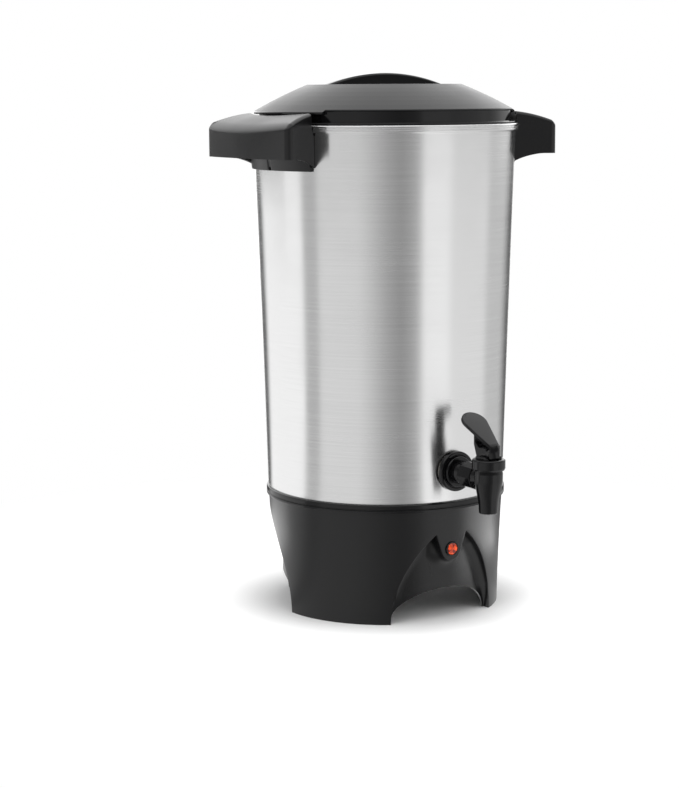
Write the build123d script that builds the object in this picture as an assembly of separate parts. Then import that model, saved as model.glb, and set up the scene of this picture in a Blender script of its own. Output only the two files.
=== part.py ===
from build123d import *
import math
import os

# A free-standing percolating coffee urn. Millimetres, +Z up. The origin is on the floor under
# the urn's own axis, the tap points along -Y and the two handles along +X and -X. It stands
# 472.4 high and measures 292.1 over the handles.

# ---------------------------------------------------------------- driving dimensions
TINY = 0.05  # gap at a seat that a moving piece rests on
PLAY = 0.3  # gap between pieces that slide past each other
CUT = 2.0  # how far a cutting shape runs past what it cuts

# Base skirt
BASE_HEIGHT = 99.5
BASE_TOP_R = 105.4  # outer radius under the seam ring
BASE_TAPER = 4.0  # how much narrower the skirt is at the floor
BASE_HOLLOW = 0.5  # how far the middle of the flare lies inside a straight line
BASE_WALL = 2.8
SHELF_WIDTH = 29.4  # outer face to the edge of the round hole under the vessel
SHELF_THICKNESS = 3.0
VESSEL_SINK = 5.5  # how deep the vessel's bottom sits below the skirt's top
SEAM_RING_HEIGHT = 7.0
SEAM_RING_PROUD = 2.0
SEAM_RING_WIDTH = 5.4

# Arches and niches between the three feet
ARCH_COUNT = 3
ARCH_HALF_WIDTH = 52.2
ARCH_RADIUS = 101.3
ARCH_PEAK_X = 15.8  # half the distance between the front arch's two peaks
SIDE_PEAK_X = 6.0  # half width of a side arch's rounded point
SIDE_PEAK_ROUND = 1.6
LOW_ARCH_HALF_WIDTH = 50.0  # arch cut in the drum's lower edge behind each niche
LOW_ARCH_HEIGHT = 28.0
NICHE_DEPTH = 6.4  # skirt's outer face to the drum behind the niches, at the floor
NICHE_LEAN = 0.05  # inward lean of the drum behind the niches for each unit of height
NICHE_WALL = 2.6
DRUM_GAP = 0.1  # between the skirt and the drum where they meet

# Ready light in the front arch's tongue
LAMP_DROP = 35.3  # below the skirt's top
TONGUE_R = 10.4
LAMP_SLEEVE_R = 5.25
LAMP_BEZEL_R = 6.4
LENS_R = 5.0

# Bottom cover and its screws
COVER_Z = 30.0
COVER_THICKNESS = 2.0
COVER_MARGIN = 11.0  # how far the cover reaches past the shelf's hole
POST_R = 4.2
POST_OFFSET = 4.0  # post circle, out from the shelf's hole
SCREW_R = 1.5
SCREW_LENGTH = 11.0
SCREW_HEAD_R = 3.6
SCREW_HEAD_HEIGHT = 2.2
VENT_LENGTH = 26.0
VENT_WIDTH = 2.4
VENT_PITCH = 8.0
CORD_Z = 56.0
CORD_HOLE_R = 4.2
CORD_BOSS_R = 8.0

# Vessel
TANK_FLARE = 9.9  # how much wider the steel body is at the rim
TANK_HEIGHT = 334.4  # underside to the top of the rim bead
TANK_WALL = 0.9
TANK_CORNER_R = 16.0
BEAD_HEIGHT = 6.2
BEAD_PROUD = 2.8
BEAD_ROUND = 1.6
WELL_R = 22.0  # heating well under the middle of the bottom
WELL_DEPTH = 12.0
STUD_R = 2.5
STUD_LENGTH = 13.0
STUD_OFFSET = 6.0  # stud circle, out from the shelf's hole
CLAMP_STUD_R = 3.0
CLAMP_STUD_LENGTH = 12.0

# Heating
CONTACT_PLATE_R = 39.0
CONTACT_PLATE_THICKNESS = 1.8
SHEATH_R = 3.6
SHEATH_CIRCLE_R = 31.0
SHEATH_DROP = 5.2  # sheath's centre below the vessel's bottom
PIN_R = 1.5
PIN_LENGTH = 15.0
PIN_ANGLES = [60, 84]
KEEP_WARM_GAP = 7.0  # between the contact plate and the ring
KEEP_WARM_MARGIN = 8.0  # ring's outer edge, in from the shelf's hole
KEEP_WARM_THICKNESS = 1.6
TAB_ANGLES = [96, 144]
CLAMP_THICKNESS = 1.2
SENSOR_OFFSET = 18.0  # circle of the thermostat and the fuse, out from the contact plate
THERMOSTAT_R = 8.0
THERMOSTAT_HEIGHT = 9.0
THERMOSTAT_ANGLE = 20
THERMOSTAT_BLADE_Y = 5.0
FUSE_R = 2.0
FUSE_LENGTH = 12.0
FUSE_ANGLE = 200
SHIELD_GAP = 12.0  # heat shield over the bottom cover
SHIELD_THICKNESS = 0.8
BLOCK_SIZE = (32.0, 22.0, 12.0)
BLOCK_Y = 46.0
BLOCK_SCREW_R = 2.6
LEAD_R = 1.1

# Handles
HANDLE_REACH = 27.75  # outer face, out from the rim bead
HANDLE_WALL = 3.0
HANDLE_ROOT_HALF_WIDTH = 49.8  # half width where the handle meets the steel
HANDLE_SIDE_ANGLE = 22.6
HANDLE_CORNER_R = 9.0
HANDLE_BACK_DROP = 38.4  # lower edge of the back wall below the rim
HANDLE_GRIP_DROP = 27.4  # lower edge of the outer wall below the rim
HANDLE_STUD_R = 2.0
HANDLE_STUD_LENGTH = 9.5
HANDLE_STUD_DROP = 18.2
HANDLE_STUD_ANGLES = [-15, 15, 165, 195]
HANDLE_NUT_FLATS = 7.0
HANDLE_NUT_FLANGE_R = 4.8

# Lid
LID_RISE = 34.1  # rim to the lid's flat top
LID_EDGE_RISE = 12.9  # rim to the lower edge of the dome
LID_DOME_WIDTH = 44.3
LID_WALL = 2.4
LID_PLUG_DEPTH = 10.0
LID_STEP_WIDTH = 6.0  # flat ring between the dome and the recess
RECESS_DEPTH = 16.5
RECESS_TAPER = 8.0
EAR_HALF_ANGLE = 30.0
EAR_PROUD = 3.3
GRIP_RISE = 9.9  # lid's flat top to the top of the grip
GRIP_HALF_WIDTH = 4.6
GRIP_ROUND = 2.2
GRIP_SCREW_X = 30.0
GRIP_SCREW_R = 1.4

# Percolator stack
STEM_R = 4.75
STEM_BORE_R = 3.9
STEM_TOP_DROP = 33.0  # tube's top below the rim
FOOT_R = 19.0
FOOT_SOCKET_R = 8.4
VALVE_R = 5.2
BASKET_R = 75.0
BASKET_HEIGHT = 84.0
BASKET_RISE = 197.0  # basket's underside over the vessel's underside
BASKET_WALL = 0.9
COLLAR_R = 9.0
PERK_HOLE_R = 1.5
BASKET_HOLE_RINGS = [16.0, 28.0, 40.0, 52.0, 63.0]
BASKET_HOLE_PITCH = 18.0
SPREADER_HOLE_RINGS = [30.0, 44.0, 58.0]
SPREADER_HOLE_PITCH = 23.0

# Tap
TAP_RISE = 27.0  # centre of the inlet over the seam
TAP_REACH = 49.4  # spout's axis, out from the steel
TAP_SHANK_R = 8.5
TAP_BORE_R = 5.0
FLANGE_R = 17.4
GASKET_THICKNESS = 1.2
NECK_R = 10.3
SPOUT_DROP = 28.5  # spout's mouth below the inlet's centre
SPOUT_BORE_R = 5.8
SEAT_RISE = 12.0
BODY_HEIGHT = 37.0
CHAMBER_R = 8.9
BONNET_R = 14.1
BONNET_HEIGHT = 9.5
SPRING_R = 4.0
SPRING_WIRE_R = 0.5
SPRING_TURNS = 6
HUB_HALF_WIDTH = 4.8
HUB_HEIGHT = 11.1
PIN_RISE = 6.5  # lever's pin over the bonnet
LEVER_PIN_R = 1.2
LEVER_TILT = 32.2  # degrees the paddle rises above the horizontal
LEVER_THICKNESS = 3.2
PADDLE_LENGTH = 45.2
PADDLE_HALF_WIDTH = 11.6

# ---------------------------------------------------------------- levels and radii from them
BASE_FOOT_R = BASE_TOP_R - BASE_TAPER
SHELF_R = BASE_TOP_R - SHELF_WIDTH
SEAM_Z = BASE_HEIGHT + SEAM_RING_HEIGHT
ARCH_STEP = 360 / ARCH_COUNT
ARCH_ANGLES = [-90 + ARCH_STEP * index for index in range(ARCH_COUNT)]  # the first faces -Y
LEG_ANGLES = [angle + ARCH_STEP / 2 for angle in ARCH_ANGLES]
ARCH_CENTRE_X = ARCH_HALF_WIDTH - ARCH_RADIUS
LAMP_Z = BASE_HEIGHT - LAMP_DROP
LAMP_FACE_R = BASE_FOOT_R + BASE_TAPER * LAMP_Z / BASE_HEIGHT - PLAY
NICHE_FOOT_R = BASE_FOOT_R - NICHE_DEPTH

TANK_Z = BASE_HEIGHT - VESSEL_SINK
TANK_FOOT_R = BASE_TOP_R + 0.2
TANK_RIM_R = TANK_FOOT_R + TANK_FLARE
RIM_Z = TANK_Z + TANK_HEIGHT
BEAD_Z = RIM_Z - BEAD_HEIGHT
BEAD_R = TANK_RIM_R + BEAD_PROUD
SEAT_UNDERSIDE_Z = TANK_Z - SHELF_THICKNESS
SHELF_OUT_R = BASE_FOOT_R + BASE_TAPER * SEAT_UNDERSIDE_Z / BASE_HEIGHT - BASE_HOLLOW - BASE_WALL
BASE_STUD_CIRCLE_R = SHELF_R + STUD_OFFSET
POST_CIRCLE_R = SHELF_R + POST_OFFSET

CLAMP_LOW_Z = TANK_Z - WELL_DEPTH
SHEATH_Z = TANK_Z - SHEATH_DROP
KEEP_WARM_Z = TANK_Z - KEEP_WARM_THICKNESS
KEEP_WARM_OUT_R = SHELF_R - KEEP_WARM_MARGIN
KEEP_WARM_IN_R = CONTACT_PLATE_R + KEEP_WARM_GAP
SENSOR_CIRCLE_R = CONTACT_PLATE_R + SENSOR_OFFSET
CLAMP_UNDERSIDE_Z = KEEP_WARM_Z - CLAMP_THICKNESS
SHIELD_Z = COVER_Z + COVER_THICKNESS + SHIELD_GAP
BLOCK_Z = SHIELD_Z + SHIELD_THICKNESS
BLOCK_TOP_Z = BLOCK_Z + BLOCK_SIZE[2]


def tank_radius(z):
    """Outer radius of the steel body at a height."""
    return TANK_FOOT_R + TANK_FLARE * (z - SEAM_Z) / (BEAD_Z - SEAM_Z)


HANDLE_X = BEAD_R + HANDLE_REACH
HANDLE_ROOT_X = TANK_RIM_R - 12.0
HANDLE_LOW_Z = RIM_Z - HANDLE_BACK_DROP
HANDLE_GRIP_Z = RIM_Z - HANDLE_GRIP_DROP
HANDLE_STUD_Z = RIM_Z - HANDLE_STUD_DROP
HANDLE_NUT_SEAT = tank_radius(HANDLE_STUD_Z) + HANDLE_WALL + 0.5
SIDE_SLOPE = math.tan(math.radians(HANDLE_SIDE_ANGLE))
HANDLE_HALF_WIDTH = HANDLE_ROOT_HALF_WIDTH + (HANDLE_X - HANDLE_ROOT_X) * SIDE_SLOPE

LID_EDGE_R = TANK_RIM_R - 3.2
LID_SKIRT_R = LID_EDGE_R - 1.3
LID_EDGE_Z = RIM_Z + LID_EDGE_RISE
LID_FLAT_R = LID_EDGE_R - LID_DOME_WIDTH
LID_FLAT_Z = RIM_Z + LID_RISE
RECESS_R = LID_FLAT_R - LID_STEP_WIDTH
RECESS_FLOOR_R = RECESS_R - RECESS_TAPER
RECESS_FLOOR_Z = LID_FLAT_Z - RECESS_DEPTH
GRIP_TOP_Z = LID_FLAT_Z + GRIP_RISE

FOOT_Z = TANK_Z - WELL_DEPTH + TANK_WALL + 2 * TINY
STEM_TOP_Z = RIM_Z - STEM_TOP_DROP
BASKET_Z = TANK_Z + BASKET_RISE
SPREADER_Z = BASKET_Z + BASKET_HEIGHT + 2 * TINY

TAP_Z = SEAM_Z + TAP_RISE
TANK_FACE = tank_radius(TAP_Z)  # steel's outer face behind the tap
FLANGE_BACK = TANK_FACE + GASKET_THICKNESS
NECK_BACK = FLANGE_BACK + 7.5
SPOUT_OUT = TANK_FACE + TAP_REACH
NUT_FRONT = TANK_FACE - TANK_WALL - 3.2
NUT_THICKNESS = 5.0
BODY_Z = TAP_Z - SPOUT_DROP
SEAT_Z = BODY_Z + SEAT_RISE
BONNET_Z = BODY_Z + BODY_HEIGHT
BONNET_TOP_Z = BONNET_Z + BONNET_HEIGHT
BONNET_SPIGOT = 3.2
STEM_PIN_Z = BONNET_TOP_Z + PIN_RISE
CUP_HEIGHT = 7.0
PIVOT_OUT = SPOUT_OUT + 8.2  # lower front edge of the hub, on which the lever rocks
PIVOT_Z = BONNET_TOP_Z + 0.7


# ---------------------------------------------------------------- helpers
def turned(*outline):
    """Solid of revolution about Z from a closed outline of (radius, height) points."""
    return revolve(Plane.XZ * make_face(Polyline(*outline, close=True)), Axis.Z)


def tube(outer_r, inner_r, low, high):
    """Upright tube about Z between two heights."""
    blank = Cylinder(outer_r, high - low) - Cylinder(inner_r, high - low)
    return Pos(0, 0, (low + high) / 2) * blank


def rod(radius, low, high):
    """Upright rod about Z between two heights."""
    return Pos(0, 0, (low + high) / 2) * Cylinder(radius, high - low)


def along_tap(shape, height=TAP_Z):
    """Lay a shape that was made upright along the tap's inlet axis, its +Z becoming -Y."""
    return Pos(0, 0, height) * (Rot(90, 0, 0) * shape)


def hexagon_nut(across_flats, bore_r, low, high):
    """Hexagon nut about Z between two heights."""
    blank = extrude(RegularPolygon(across_flats / 2, 6, major_radius=False), high - low)
    return Pos(0, 0, low) * blank - rod(bore_r, low - CUT, high + CUT)


def pan_screw(shank_r, length):
    """Pan-head screw pointing up: the head's underside is at z 0, the shank above it."""
    head = rod(SCREW_HEAD_R, -SCREW_HEAD_HEIGHT, 0)
    rim = head.edges().filter_by(GeomType.CIRCLE).group_by(Axis.Z)[0]
    head = fillet(rim, SCREW_HEAD_HEIGHT * 0.45)
    slot_length = SCREW_HEAD_R * 1.1
    slot_width = SCREW_HEAD_R / 4
    cross = Box(slot_length, slot_width, SCREW_HEAD_HEIGHT)
    cross += Box(slot_width, slot_length, SCREW_HEAD_HEIGHT)
    return head + rod(shank_r, -TINY, length) - Pos(0, 0, -SCREW_HEAD_HEIGHT) * cross


def at_angles(shape, radius, angles):
    """Copies of a shape moved out to a radius and turned about Z to each angle."""
    return [Rot(0, 0, angle) * Pos(radius, 0, 0) * shape for angle in angles]


def reach_front(face, near, far):
    """Extrude an outline drawn as (across, up) from y -near out to y -far."""
    return Pos(0, -near, 0) * extrude(Plane.XZ * face, far - near)


# ---------------------------------------------------------------- tank
def tank_blank(inset):
    """Filled vessel shape with its heating well, set in by a wall thickness."""
    foot_r = tank_radius(TANK_Z) - inset
    top_r = tank_radius(RIM_Z) - inset
    low = TANK_Z + inset
    outline = Polyline(
        (0, low - WELL_DEPTH),
        (WELL_R - inset, low - WELL_DEPTH),
        (WELL_R - inset, low),
        (foot_r, low),
        (top_r, RIM_Z),
        (0, RIM_Z),
        close=True,
    )
    face = make_face(outline)
    corner = face.vertices().sort_by_distance((foot_r, low))[0]
    face = fillet(corner, TANK_CORNER_R - inset)
    return revolve(Plane.XZ * face, Axis.Z)


TANK_OUTSIDE = tank_blank(0)


def make_tank():
    """Steel vessel: thin wall, rolled rim bead, heating well, welded studs, tap hole."""
    body = TANK_OUTSIDE - tank_blank(TANK_WALL)
    bead_in = tank_radius(RIM_Z) - TANK_WALL
    bead = Polyline((bead_in, BEAD_Z), (BEAD_R, BEAD_Z), (BEAD_R, RIM_Z), (bead_in, RIM_Z), close=True)
    bead = make_face(bead)
    bead = fillet(bead.vertices(), BEAD_ROUND)
    body -= tube(BEAD_R, bead_in - CUT, RIM_Z - BEAD_ROUND, RIM_Z + CUT)
    body += revolve(Plane.XZ * bead, Axis.Z)
    body -= along_tap(rod(TAP_SHANK_R + 0.2, TANK_FACE - TAP_REACH, TANK_FACE + TAP_REACH))
    body += at_angles(rod(STUD_R, TANK_Z - STUD_LENGTH, TANK_Z), BASE_STUD_CIRCLE_R, ARCH_ANGLES)
    body += rod(CLAMP_STUD_R, CLAMP_LOW_Z - CLAMP_STUD_LENGTH, CLAMP_LOW_Z)
    stud = Pos(0, 0, HANDLE_STUD_Z) * (Rot(0, 90, 0) * rod(HANDLE_STUD_R, 0, HANDLE_STUD_LENGTH))
    stud_root = tank_radius(HANDLE_STUD_Z) - TANK_WALL / 2
    return body + at_angles(stud, stud_root, HANDLE_STUD_ANGLES)


# ---------------------------------------------------------------- seam ring and base
def make_seam_ring():
    """Glossy band between steel and base, with a fine groove and a rounded top edge."""
    proud = BASE_TOP_R + SEAM_RING_PROUD
    inside = proud - SEAM_RING_WIDTH
    low, high = BASE_HEIGHT, SEAM_Z
    groove = 0.7
    band = turned(
        (inside, low),
        (proud - 0.4, low),
        (proud, low + 0.5),
        (proud, low + 1.9),
        (proud - groove, low + 2.3),
        (proud - groove, low + 2.9),
        (proud, low + 3.3),
        (proud - 0.1, high - 1.0),
        (proud - 0.9, high),
        (inside, high),
    )
    return band - TANK_OUTSIDE


def skirt_blank(inset):
    """Filled skirt shape, slightly hollow in its flare, set in by a wall thickness."""
    foot = (BASE_FOOT_R - inset, 0)
    middle = ((BASE_FOOT_R + BASE_TOP_R) / 2 - BASE_HOLLOW - inset, BASE_HEIGHT / 2)
    top = (BASE_TOP_R - inset, BASE_HEIGHT)
    edges = ThreePointArc(foot, middle, top) + Polyline(top, (0, BASE_HEIGHT), (0, 0), foot)
    return revolve(Plane.XZ * make_face(edges), Axis.Z)


def arch_height(x):
    """Height of the arch's edge at a distance from the arch's middle."""
    return math.sqrt(ARCH_RADIUS**2 - (x - ARCH_CENTRE_X) ** 2)


def arch_point(z):
    """Point of the arch's right-hand edge at a height."""
    return (ARCH_CENTRE_X + math.sqrt(ARCH_RADIUS**2 - z**2), z)


def arch_face(with_tongue):
    """Outline of one arch on its flat plane (across, up), pointed or with the lamp tongue."""
    foot = (ARCH_HALF_WIDTH, 0)
    low = -LOW_ARCH_HEIGHT
    if with_tongue:
        peak = (ARCH_PEAK_X, arch_height(ARCH_PEAK_X))
        rise = peak[1] - LAMP_Z
        bearing = math.atan2(rise, ARCH_PEAK_X) - math.acos(TONGUE_R / math.hypot(ARCH_PEAK_X, rise))
        meet = (TONGUE_R * math.cos(bearing), LAMP_Z + TONGUE_R * math.sin(bearing))
        side = ThreePointArc(foot, arch_point(peak[1] / 2), peak) + Line(peak, meet)
        tip = ThreePointArc(meet, (0, LAMP_Z - TONGUE_R), (-meet[0], meet[1]))
    else:
        peak = (SIDE_PEAK_X, arch_height(SIDE_PEAK_X))
        side = ThreePointArc(foot, arch_point(peak[1] / 2), peak)
        tip = ThreePointArc(peak, (0, peak[1] + SIDE_PEAK_ROUND), (-SIDE_PEAK_X, peak[1]))
    ends = Polyline((-ARCH_HALF_WIDTH, 0), (-ARCH_HALF_WIDTH, low), (ARCH_HALF_WIDTH, low), foot)
    return make_face(side + tip + mirror(side, Plane.YZ) + ends)


def arch_prism(with_tongue, grow):
    """Arch's outline, widened by a wall thickness, run through the skirt towards -Y."""
    face = arch_face(with_tongue)
    if grow:
        face = offset(face, grow, kind=Kind.INTERSECTION)
    return reach_front(face, SHELF_R / 2, BASE_TOP_R + CUT)


def drum_blank(inset):
    """Filled shape of the inner drum, leaning in towards its top, set in by a wall thickness."""
    foot_r = NICHE_FOOT_R - inset
    return turned((0, 0), (foot_r, 0), (foot_r - NICHE_LEAN * TANK_Z, TANK_Z), (0, TANK_Z))


def make_base_skirt():
    """Black outer moulding: flared skirt with three arches, their inward walls, and a tongue."""
    outside = skirt_blank(0)
    skirt = outside - skirt_blank(BASE_WALL)
    inner_drum = drum_blank(-DRUM_GAP)
    turns = [Rot(0, 0, angle - ARCH_ANGLES[0]) for angle in ARCH_ANGLES]
    for index, turn in enumerate(turns):
        skirt += (turn * arch_prism(index == 0, NICHE_WALL) & outside) - inner_drum
    for index, turn in enumerate(turns):
        skirt -= turn * arch_prism(index == 0, 0)
    lamp_hole = rod(LAMP_SLEEVE_R, SHELF_R, BASE_TOP_R + CUT)
    lamp_hole += rod(LAMP_BEZEL_R + 0.2, LAMP_FACE_R - PLAY, BASE_TOP_R + CUT)
    skirt -= along_tap(lamp_hole, LAMP_Z)
    skirt += along_tap(rod(CORD_BOSS_R, -BASE_FOOT_R - 2.2, -BASE_FOOT_R + 3.4), CORD_Z)
    return skirt - along_tap(rod(CORD_HOLE_R, -BASE_TOP_R - CUT, -SHELF_R), CORD_Z)


def make_base_drum():
    """Black inner moulding: drum behind the arches, shelf for the vessel, screw posts."""
    shelf_r = SHELF_OUT_R - DRUM_GAP
    drum = drum_blank(0) - drum_blank(NICHE_WALL) + tube(shelf_r, SHELF_R, SEAT_UNDERSIDE_Z, TANK_Z)
    low_arch = reach_front(Ellipse(LOW_ARCH_HALF_WIDTH, LOW_ARCH_HEIGHT), SHELF_R / 2, BASE_TOP_R)
    drum -= [Rot(0, 0, angle - ARCH_ANGLES[0]) * low_arch for angle in ARCH_ANGLES]
    stud_hole = rod(STUD_R + PLAY, TANK_Z - STUD_LENGTH, TANK_Z + CUT)
    drum -= at_angles(stud_hole, BASE_STUD_CIRCLE_R, ARCH_ANGLES)
    pilot = rod(SCREW_R + 0.1, COVER_Z, COVER_Z + SCREW_LENGTH + COVER_THICKNESS)
    post = rod(POST_R, COVER_Z + COVER_THICKNESS, SEAT_UNDERSIDE_Z) - pilot
    drum += at_angles(post, POST_CIRCLE_R, LEG_ANGLES)
    drum -= along_tap(rod(LAMP_SLEEVE_R + PLAY, SHELF_R, BASE_TOP_R), LAMP_Z)
    return drum - along_tap(rod(CORD_HOLE_R + PLAY, -BASE_TOP_R, -SHELF_R), CORD_Z)


def make_bottom_cover():
    """Round plate that closes the base from below, with stand-offs for the heat shield."""
    top = COVER_Z + COVER_THICKNESS
    plate = rod(SHELF_R + COVER_MARGIN, COVER_Z, top)
    vent = Box(VENT_LENGTH, VENT_WIDTH, 4 * COVER_THICKNESS)
    plate -= [
        Rot(0, 0, 60 * turn) * Pos(SHELF_R / 2 + 2, VENT_PITCH * step, COVER_Z) * vent
        for turn in range(6)
        for step in (-1, 0, 1)
    ]
    screw_hole = rod(SCREW_R + 0.6, COVER_Z - CUT, top + CUT)
    plate -= at_angles(screw_hole, POST_CIRCLE_R, LEG_ANGLES)
    return plate + at_angles(rod(3, COVER_Z + TINY, SHIELD_Z), SHELF_R - 14, LEG_ANGLES)


def make_bottom_cover_screws():
    """Three pan-head screws from below into the base's posts."""
    screw = Pos(0, 0, COVER_Z) * pan_screw(SCREW_R, SCREW_LENGTH)
    return at_angles(screw, POST_CIRCLE_R, LEG_ANGLES)


def make_base_nuts():
    """Nuts on the vessel's three studs, under the base's seat."""
    nut = hexagon_nut(8, STUD_R, SEAT_UNDERSIDE_Z - 4, SEAT_UNDERSIDE_Z)
    return at_angles(nut, BASE_STUD_CIRCLE_R, ARCH_ANGLES)


# ---------------------------------------------------------------- heating
def make_perking_heater():
    """Ring heater round the heating well: a contact plate, a sheathed tube and two pins."""
    plate = tube(CONTACT_PLATE_R, WELL_R, TANK_Z - CONTACT_PLATE_THICKNESS, TANK_Z)
    sheath = Pos(0, 0, SHEATH_Z) * Torus(SHEATH_CIRCLE_R, SHEATH_R)
    pins = at_angles(rod(PIN_R, SHEATH_Z - PIN_LENGTH, SHEATH_Z), SHEATH_CIRCLE_R, PIN_ANGLES)
    return plate + sheath + pins


def make_keep_warm_heater():
    """Flat ring heater that keeps the coffee hot, with two tabs for its leads."""
    ring = tube(KEEP_WARM_OUT_R, KEEP_WARM_IN_R, KEEP_WARM_Z, TANK_Z)
    tab = Pos(1.5, 0, KEEP_WARM_Z + 0.5) * Box(12, 5, 1)
    return ring + at_angles(tab, KEEP_WARM_OUT_R, TAB_ANGLES)


def make_heater_clamp():
    """Pressed steel plate that holds both heaters up against the vessel."""
    dish_r = CONTACT_PLATE_R + 2
    rim_r = KEEP_WARM_OUT_R + 3
    bore_r = CLAMP_STUD_R + 0.2
    plate = turned(
        (bore_r, CLAMP_LOW_Z - CLAMP_THICKNESS),
        (dish_r, CLAMP_LOW_Z - CLAMP_THICKNESS),
        (dish_r + 3, CLAMP_UNDERSIDE_Z),
        (rim_r, CLAMP_UNDERSIDE_Z),
        (rim_r, KEEP_WARM_Z),
        (dish_r + 2, KEEP_WARM_Z),
        (dish_r - 1, CLAMP_LOW_Z),
        (bore_r, CLAMP_LOW_Z),
    )
    window = rod(2 * PIN_R, CLAMP_LOW_Z - CUT, CLAMP_LOW_Z + CUT)
    return plate - at_angles(window, SHEATH_CIRCLE_R, PIN_ANGLES)


def make_clamp_nut():
    """Nut on the well's stud that draws the clamp plate up."""
    high = CLAMP_LOW_Z - CLAMP_THICKNESS
    return hexagon_nut(10, CLAMP_STUD_R, high - 5, high)


def make_thermostat():
    """Round snap-disc thermostat under the clamp plate, with a rim and two blades."""
    high = CLAMP_UNDERSIDE_Z
    body = rod(THERMOSTAT_R, high - THERMOSTAT_HEIGHT, high)
    body += rod(THERMOSTAT_R + 1.4, high - 1.4, high)
    blade = Box(6, 0.8, 8)
    for side in (-1, 1):
        body += Pos(0, side * THERMOSTAT_BLADE_Y, high - THERMOSTAT_HEIGHT - 3) * blade
    return at_angles(body, SENSOR_CIRCLE_R, [THERMOSTAT_ANGLE])


def make_thermal_fuse():
    """One-shot thermal fuse lying under the clamp plate, with its wire ends."""
    body = Rot(90, 0, 0) * (Cylinder(FUSE_R, FUSE_LENGTH) + Cylinder(0.5, 2.5 * FUSE_LENGTH))
    return at_angles(Pos(0, 0, CLAMP_UNDERSIDE_Z - FUSE_R) * body, SENSOR_CIRCLE_R, [FUSE_ANGLE])


def make_heat_shield():
    """Aluminium dish between the heaters and the bottom cover."""
    rim_r = SHELF_R - 6
    rim_rise = 7.0
    return turned(
        (0, SHIELD_Z),
        (rim_r - 2, SHIELD_Z),
        (rim_r, SHIELD_Z + rim_rise),
        (rim_r - SHIELD_THICKNESS, SHIELD_Z + rim_rise + 0.2),
        (rim_r - 2.6, SHIELD_Z + SHIELD_THICKNESS),
        (0, SHIELD_Z + SHIELD_THICKNESS),
    )


BLOCK_SCREW_X = [-9, 0, 9]
BLOCK_SCREW_Y = [BLOCK_Y - 6, BLOCK_Y + 6]
BLOCK_SCREW_PLACES = [(x, y) for x in BLOCK_SCREW_X for y in BLOCK_SCREW_Y]


def make_terminal_block():
    """Insulating block where the supply meets the inner leads."""
    block = Pos(0, BLOCK_Y, (BLOCK_Z + BLOCK_TOP_Z) / 2) * Box(*BLOCK_SIZE)
    block = fillet(block.edges().filter_by(Axis.Z), 1.5)
    well = rod(BLOCK_SCREW_R, BLOCK_TOP_Z - 8, BLOCK_TOP_Z + CUT)
    return block - [Pos(x, y, 0) * well for x, y in BLOCK_SCREW_PLACES]


def make_terminal_screws():
    """Brass screws of the terminal block."""
    high = BLOCK_TOP_Z - 1.5
    screw = rod(BLOCK_SCREW_R, BLOCK_TOP_Z - 8, high) - Pos(0, 0, high) * Box(4, 0.8, 1.2)
    return [Pos(x, y, 0) * screw for x, y in BLOCK_SCREW_PLACES]


# ---------------------------------------------------------------- ready light
def make_lamp_bezel():
    """Black ring and sleeve that hold the lens in the tongue."""
    ring = tube(LAMP_BEZEL_R, LENS_R + 0.2, LAMP_FACE_R - PLAY, LAMP_FACE_R + 1.1)
    ring = fillet(ring.edges().group_by(Axis.Z)[-1], 0.35)
    sleeve = tube(LAMP_SLEEVE_R, LENS_R - 0.8, LAMP_FACE_R - 14, LAMP_FACE_R - 1.5)
    sleeve += tube(LAMP_SLEEVE_R, LENS_R, LAMP_FACE_R - 1.5, LAMP_FACE_R)
    return along_tap(ring + sleeve, LAMP_Z)


def make_lamp_lens():
    """Faceted lens: an eight-sided low pyramid on a round plug."""
    plug = rod(LENS_R, LAMP_FACE_R - 1.5, LAMP_FACE_R + 0.8)
    facets = extrude(Pos(0, 0, LAMP_FACE_R + 0.7) * RegularPolygon(LENS_R, 8), 1.7, taper=42)
    return along_tap(plug + facets, LAMP_Z)


def make_lamp_tube():
    """Small neon tube behind the lens, with two wire ends."""
    glass = rod(LENS_R / 2 + 0.1, LAMP_FACE_R - 13, LAMP_FACE_R - 1.5)
    glass = fillet(glass.edges().group_by(Axis.Z)[-1], 1.5)
    wire = rod(0.35, LAMP_FACE_R - 24, LAMP_FACE_R - 12)
    return along_tap(glass + Pos(1.2, 0, 0) * wire + Pos(-1.2, 0, 0) * wire, LAMP_Z)


# ---------------------------------------------------------------- inner leads
def polar(radius, angle, z):
    """Point at a radius and an angle about Z, in degrees."""
    return (radius * math.cos(math.radians(angle)), radius * math.sin(math.radians(angle)), z)


def blade_end(side):
    """Lower end of one of the thermostat's blades."""
    turn = math.degrees(math.atan2(side * THERMOSTAT_BLADE_Y, SENSOR_CIRCLE_R))
    radius = math.hypot(SENSOR_CIRCLE_R, THERMOSTAT_BLADE_Y)
    return polar(radius, THERMOSTAT_ANGLE + turn, CLAMP_UNDERSIDE_Z - THERMOSTAT_HEIGHT - 7)


def fuse_end(side, further):
    """End of one of the thermal fuse's wires, or a point further along the same line."""
    reach = side * (1.25 * FUSE_LENGTH + further)
    turn = math.degrees(math.atan2(reach, SENSOR_CIRCLE_R))
    return polar(math.hypot(SENSOR_CIRCLE_R, reach), FUSE_ANGLE + turn, CLAMP_UNDERSIDE_Z - FUSE_R)


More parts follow.
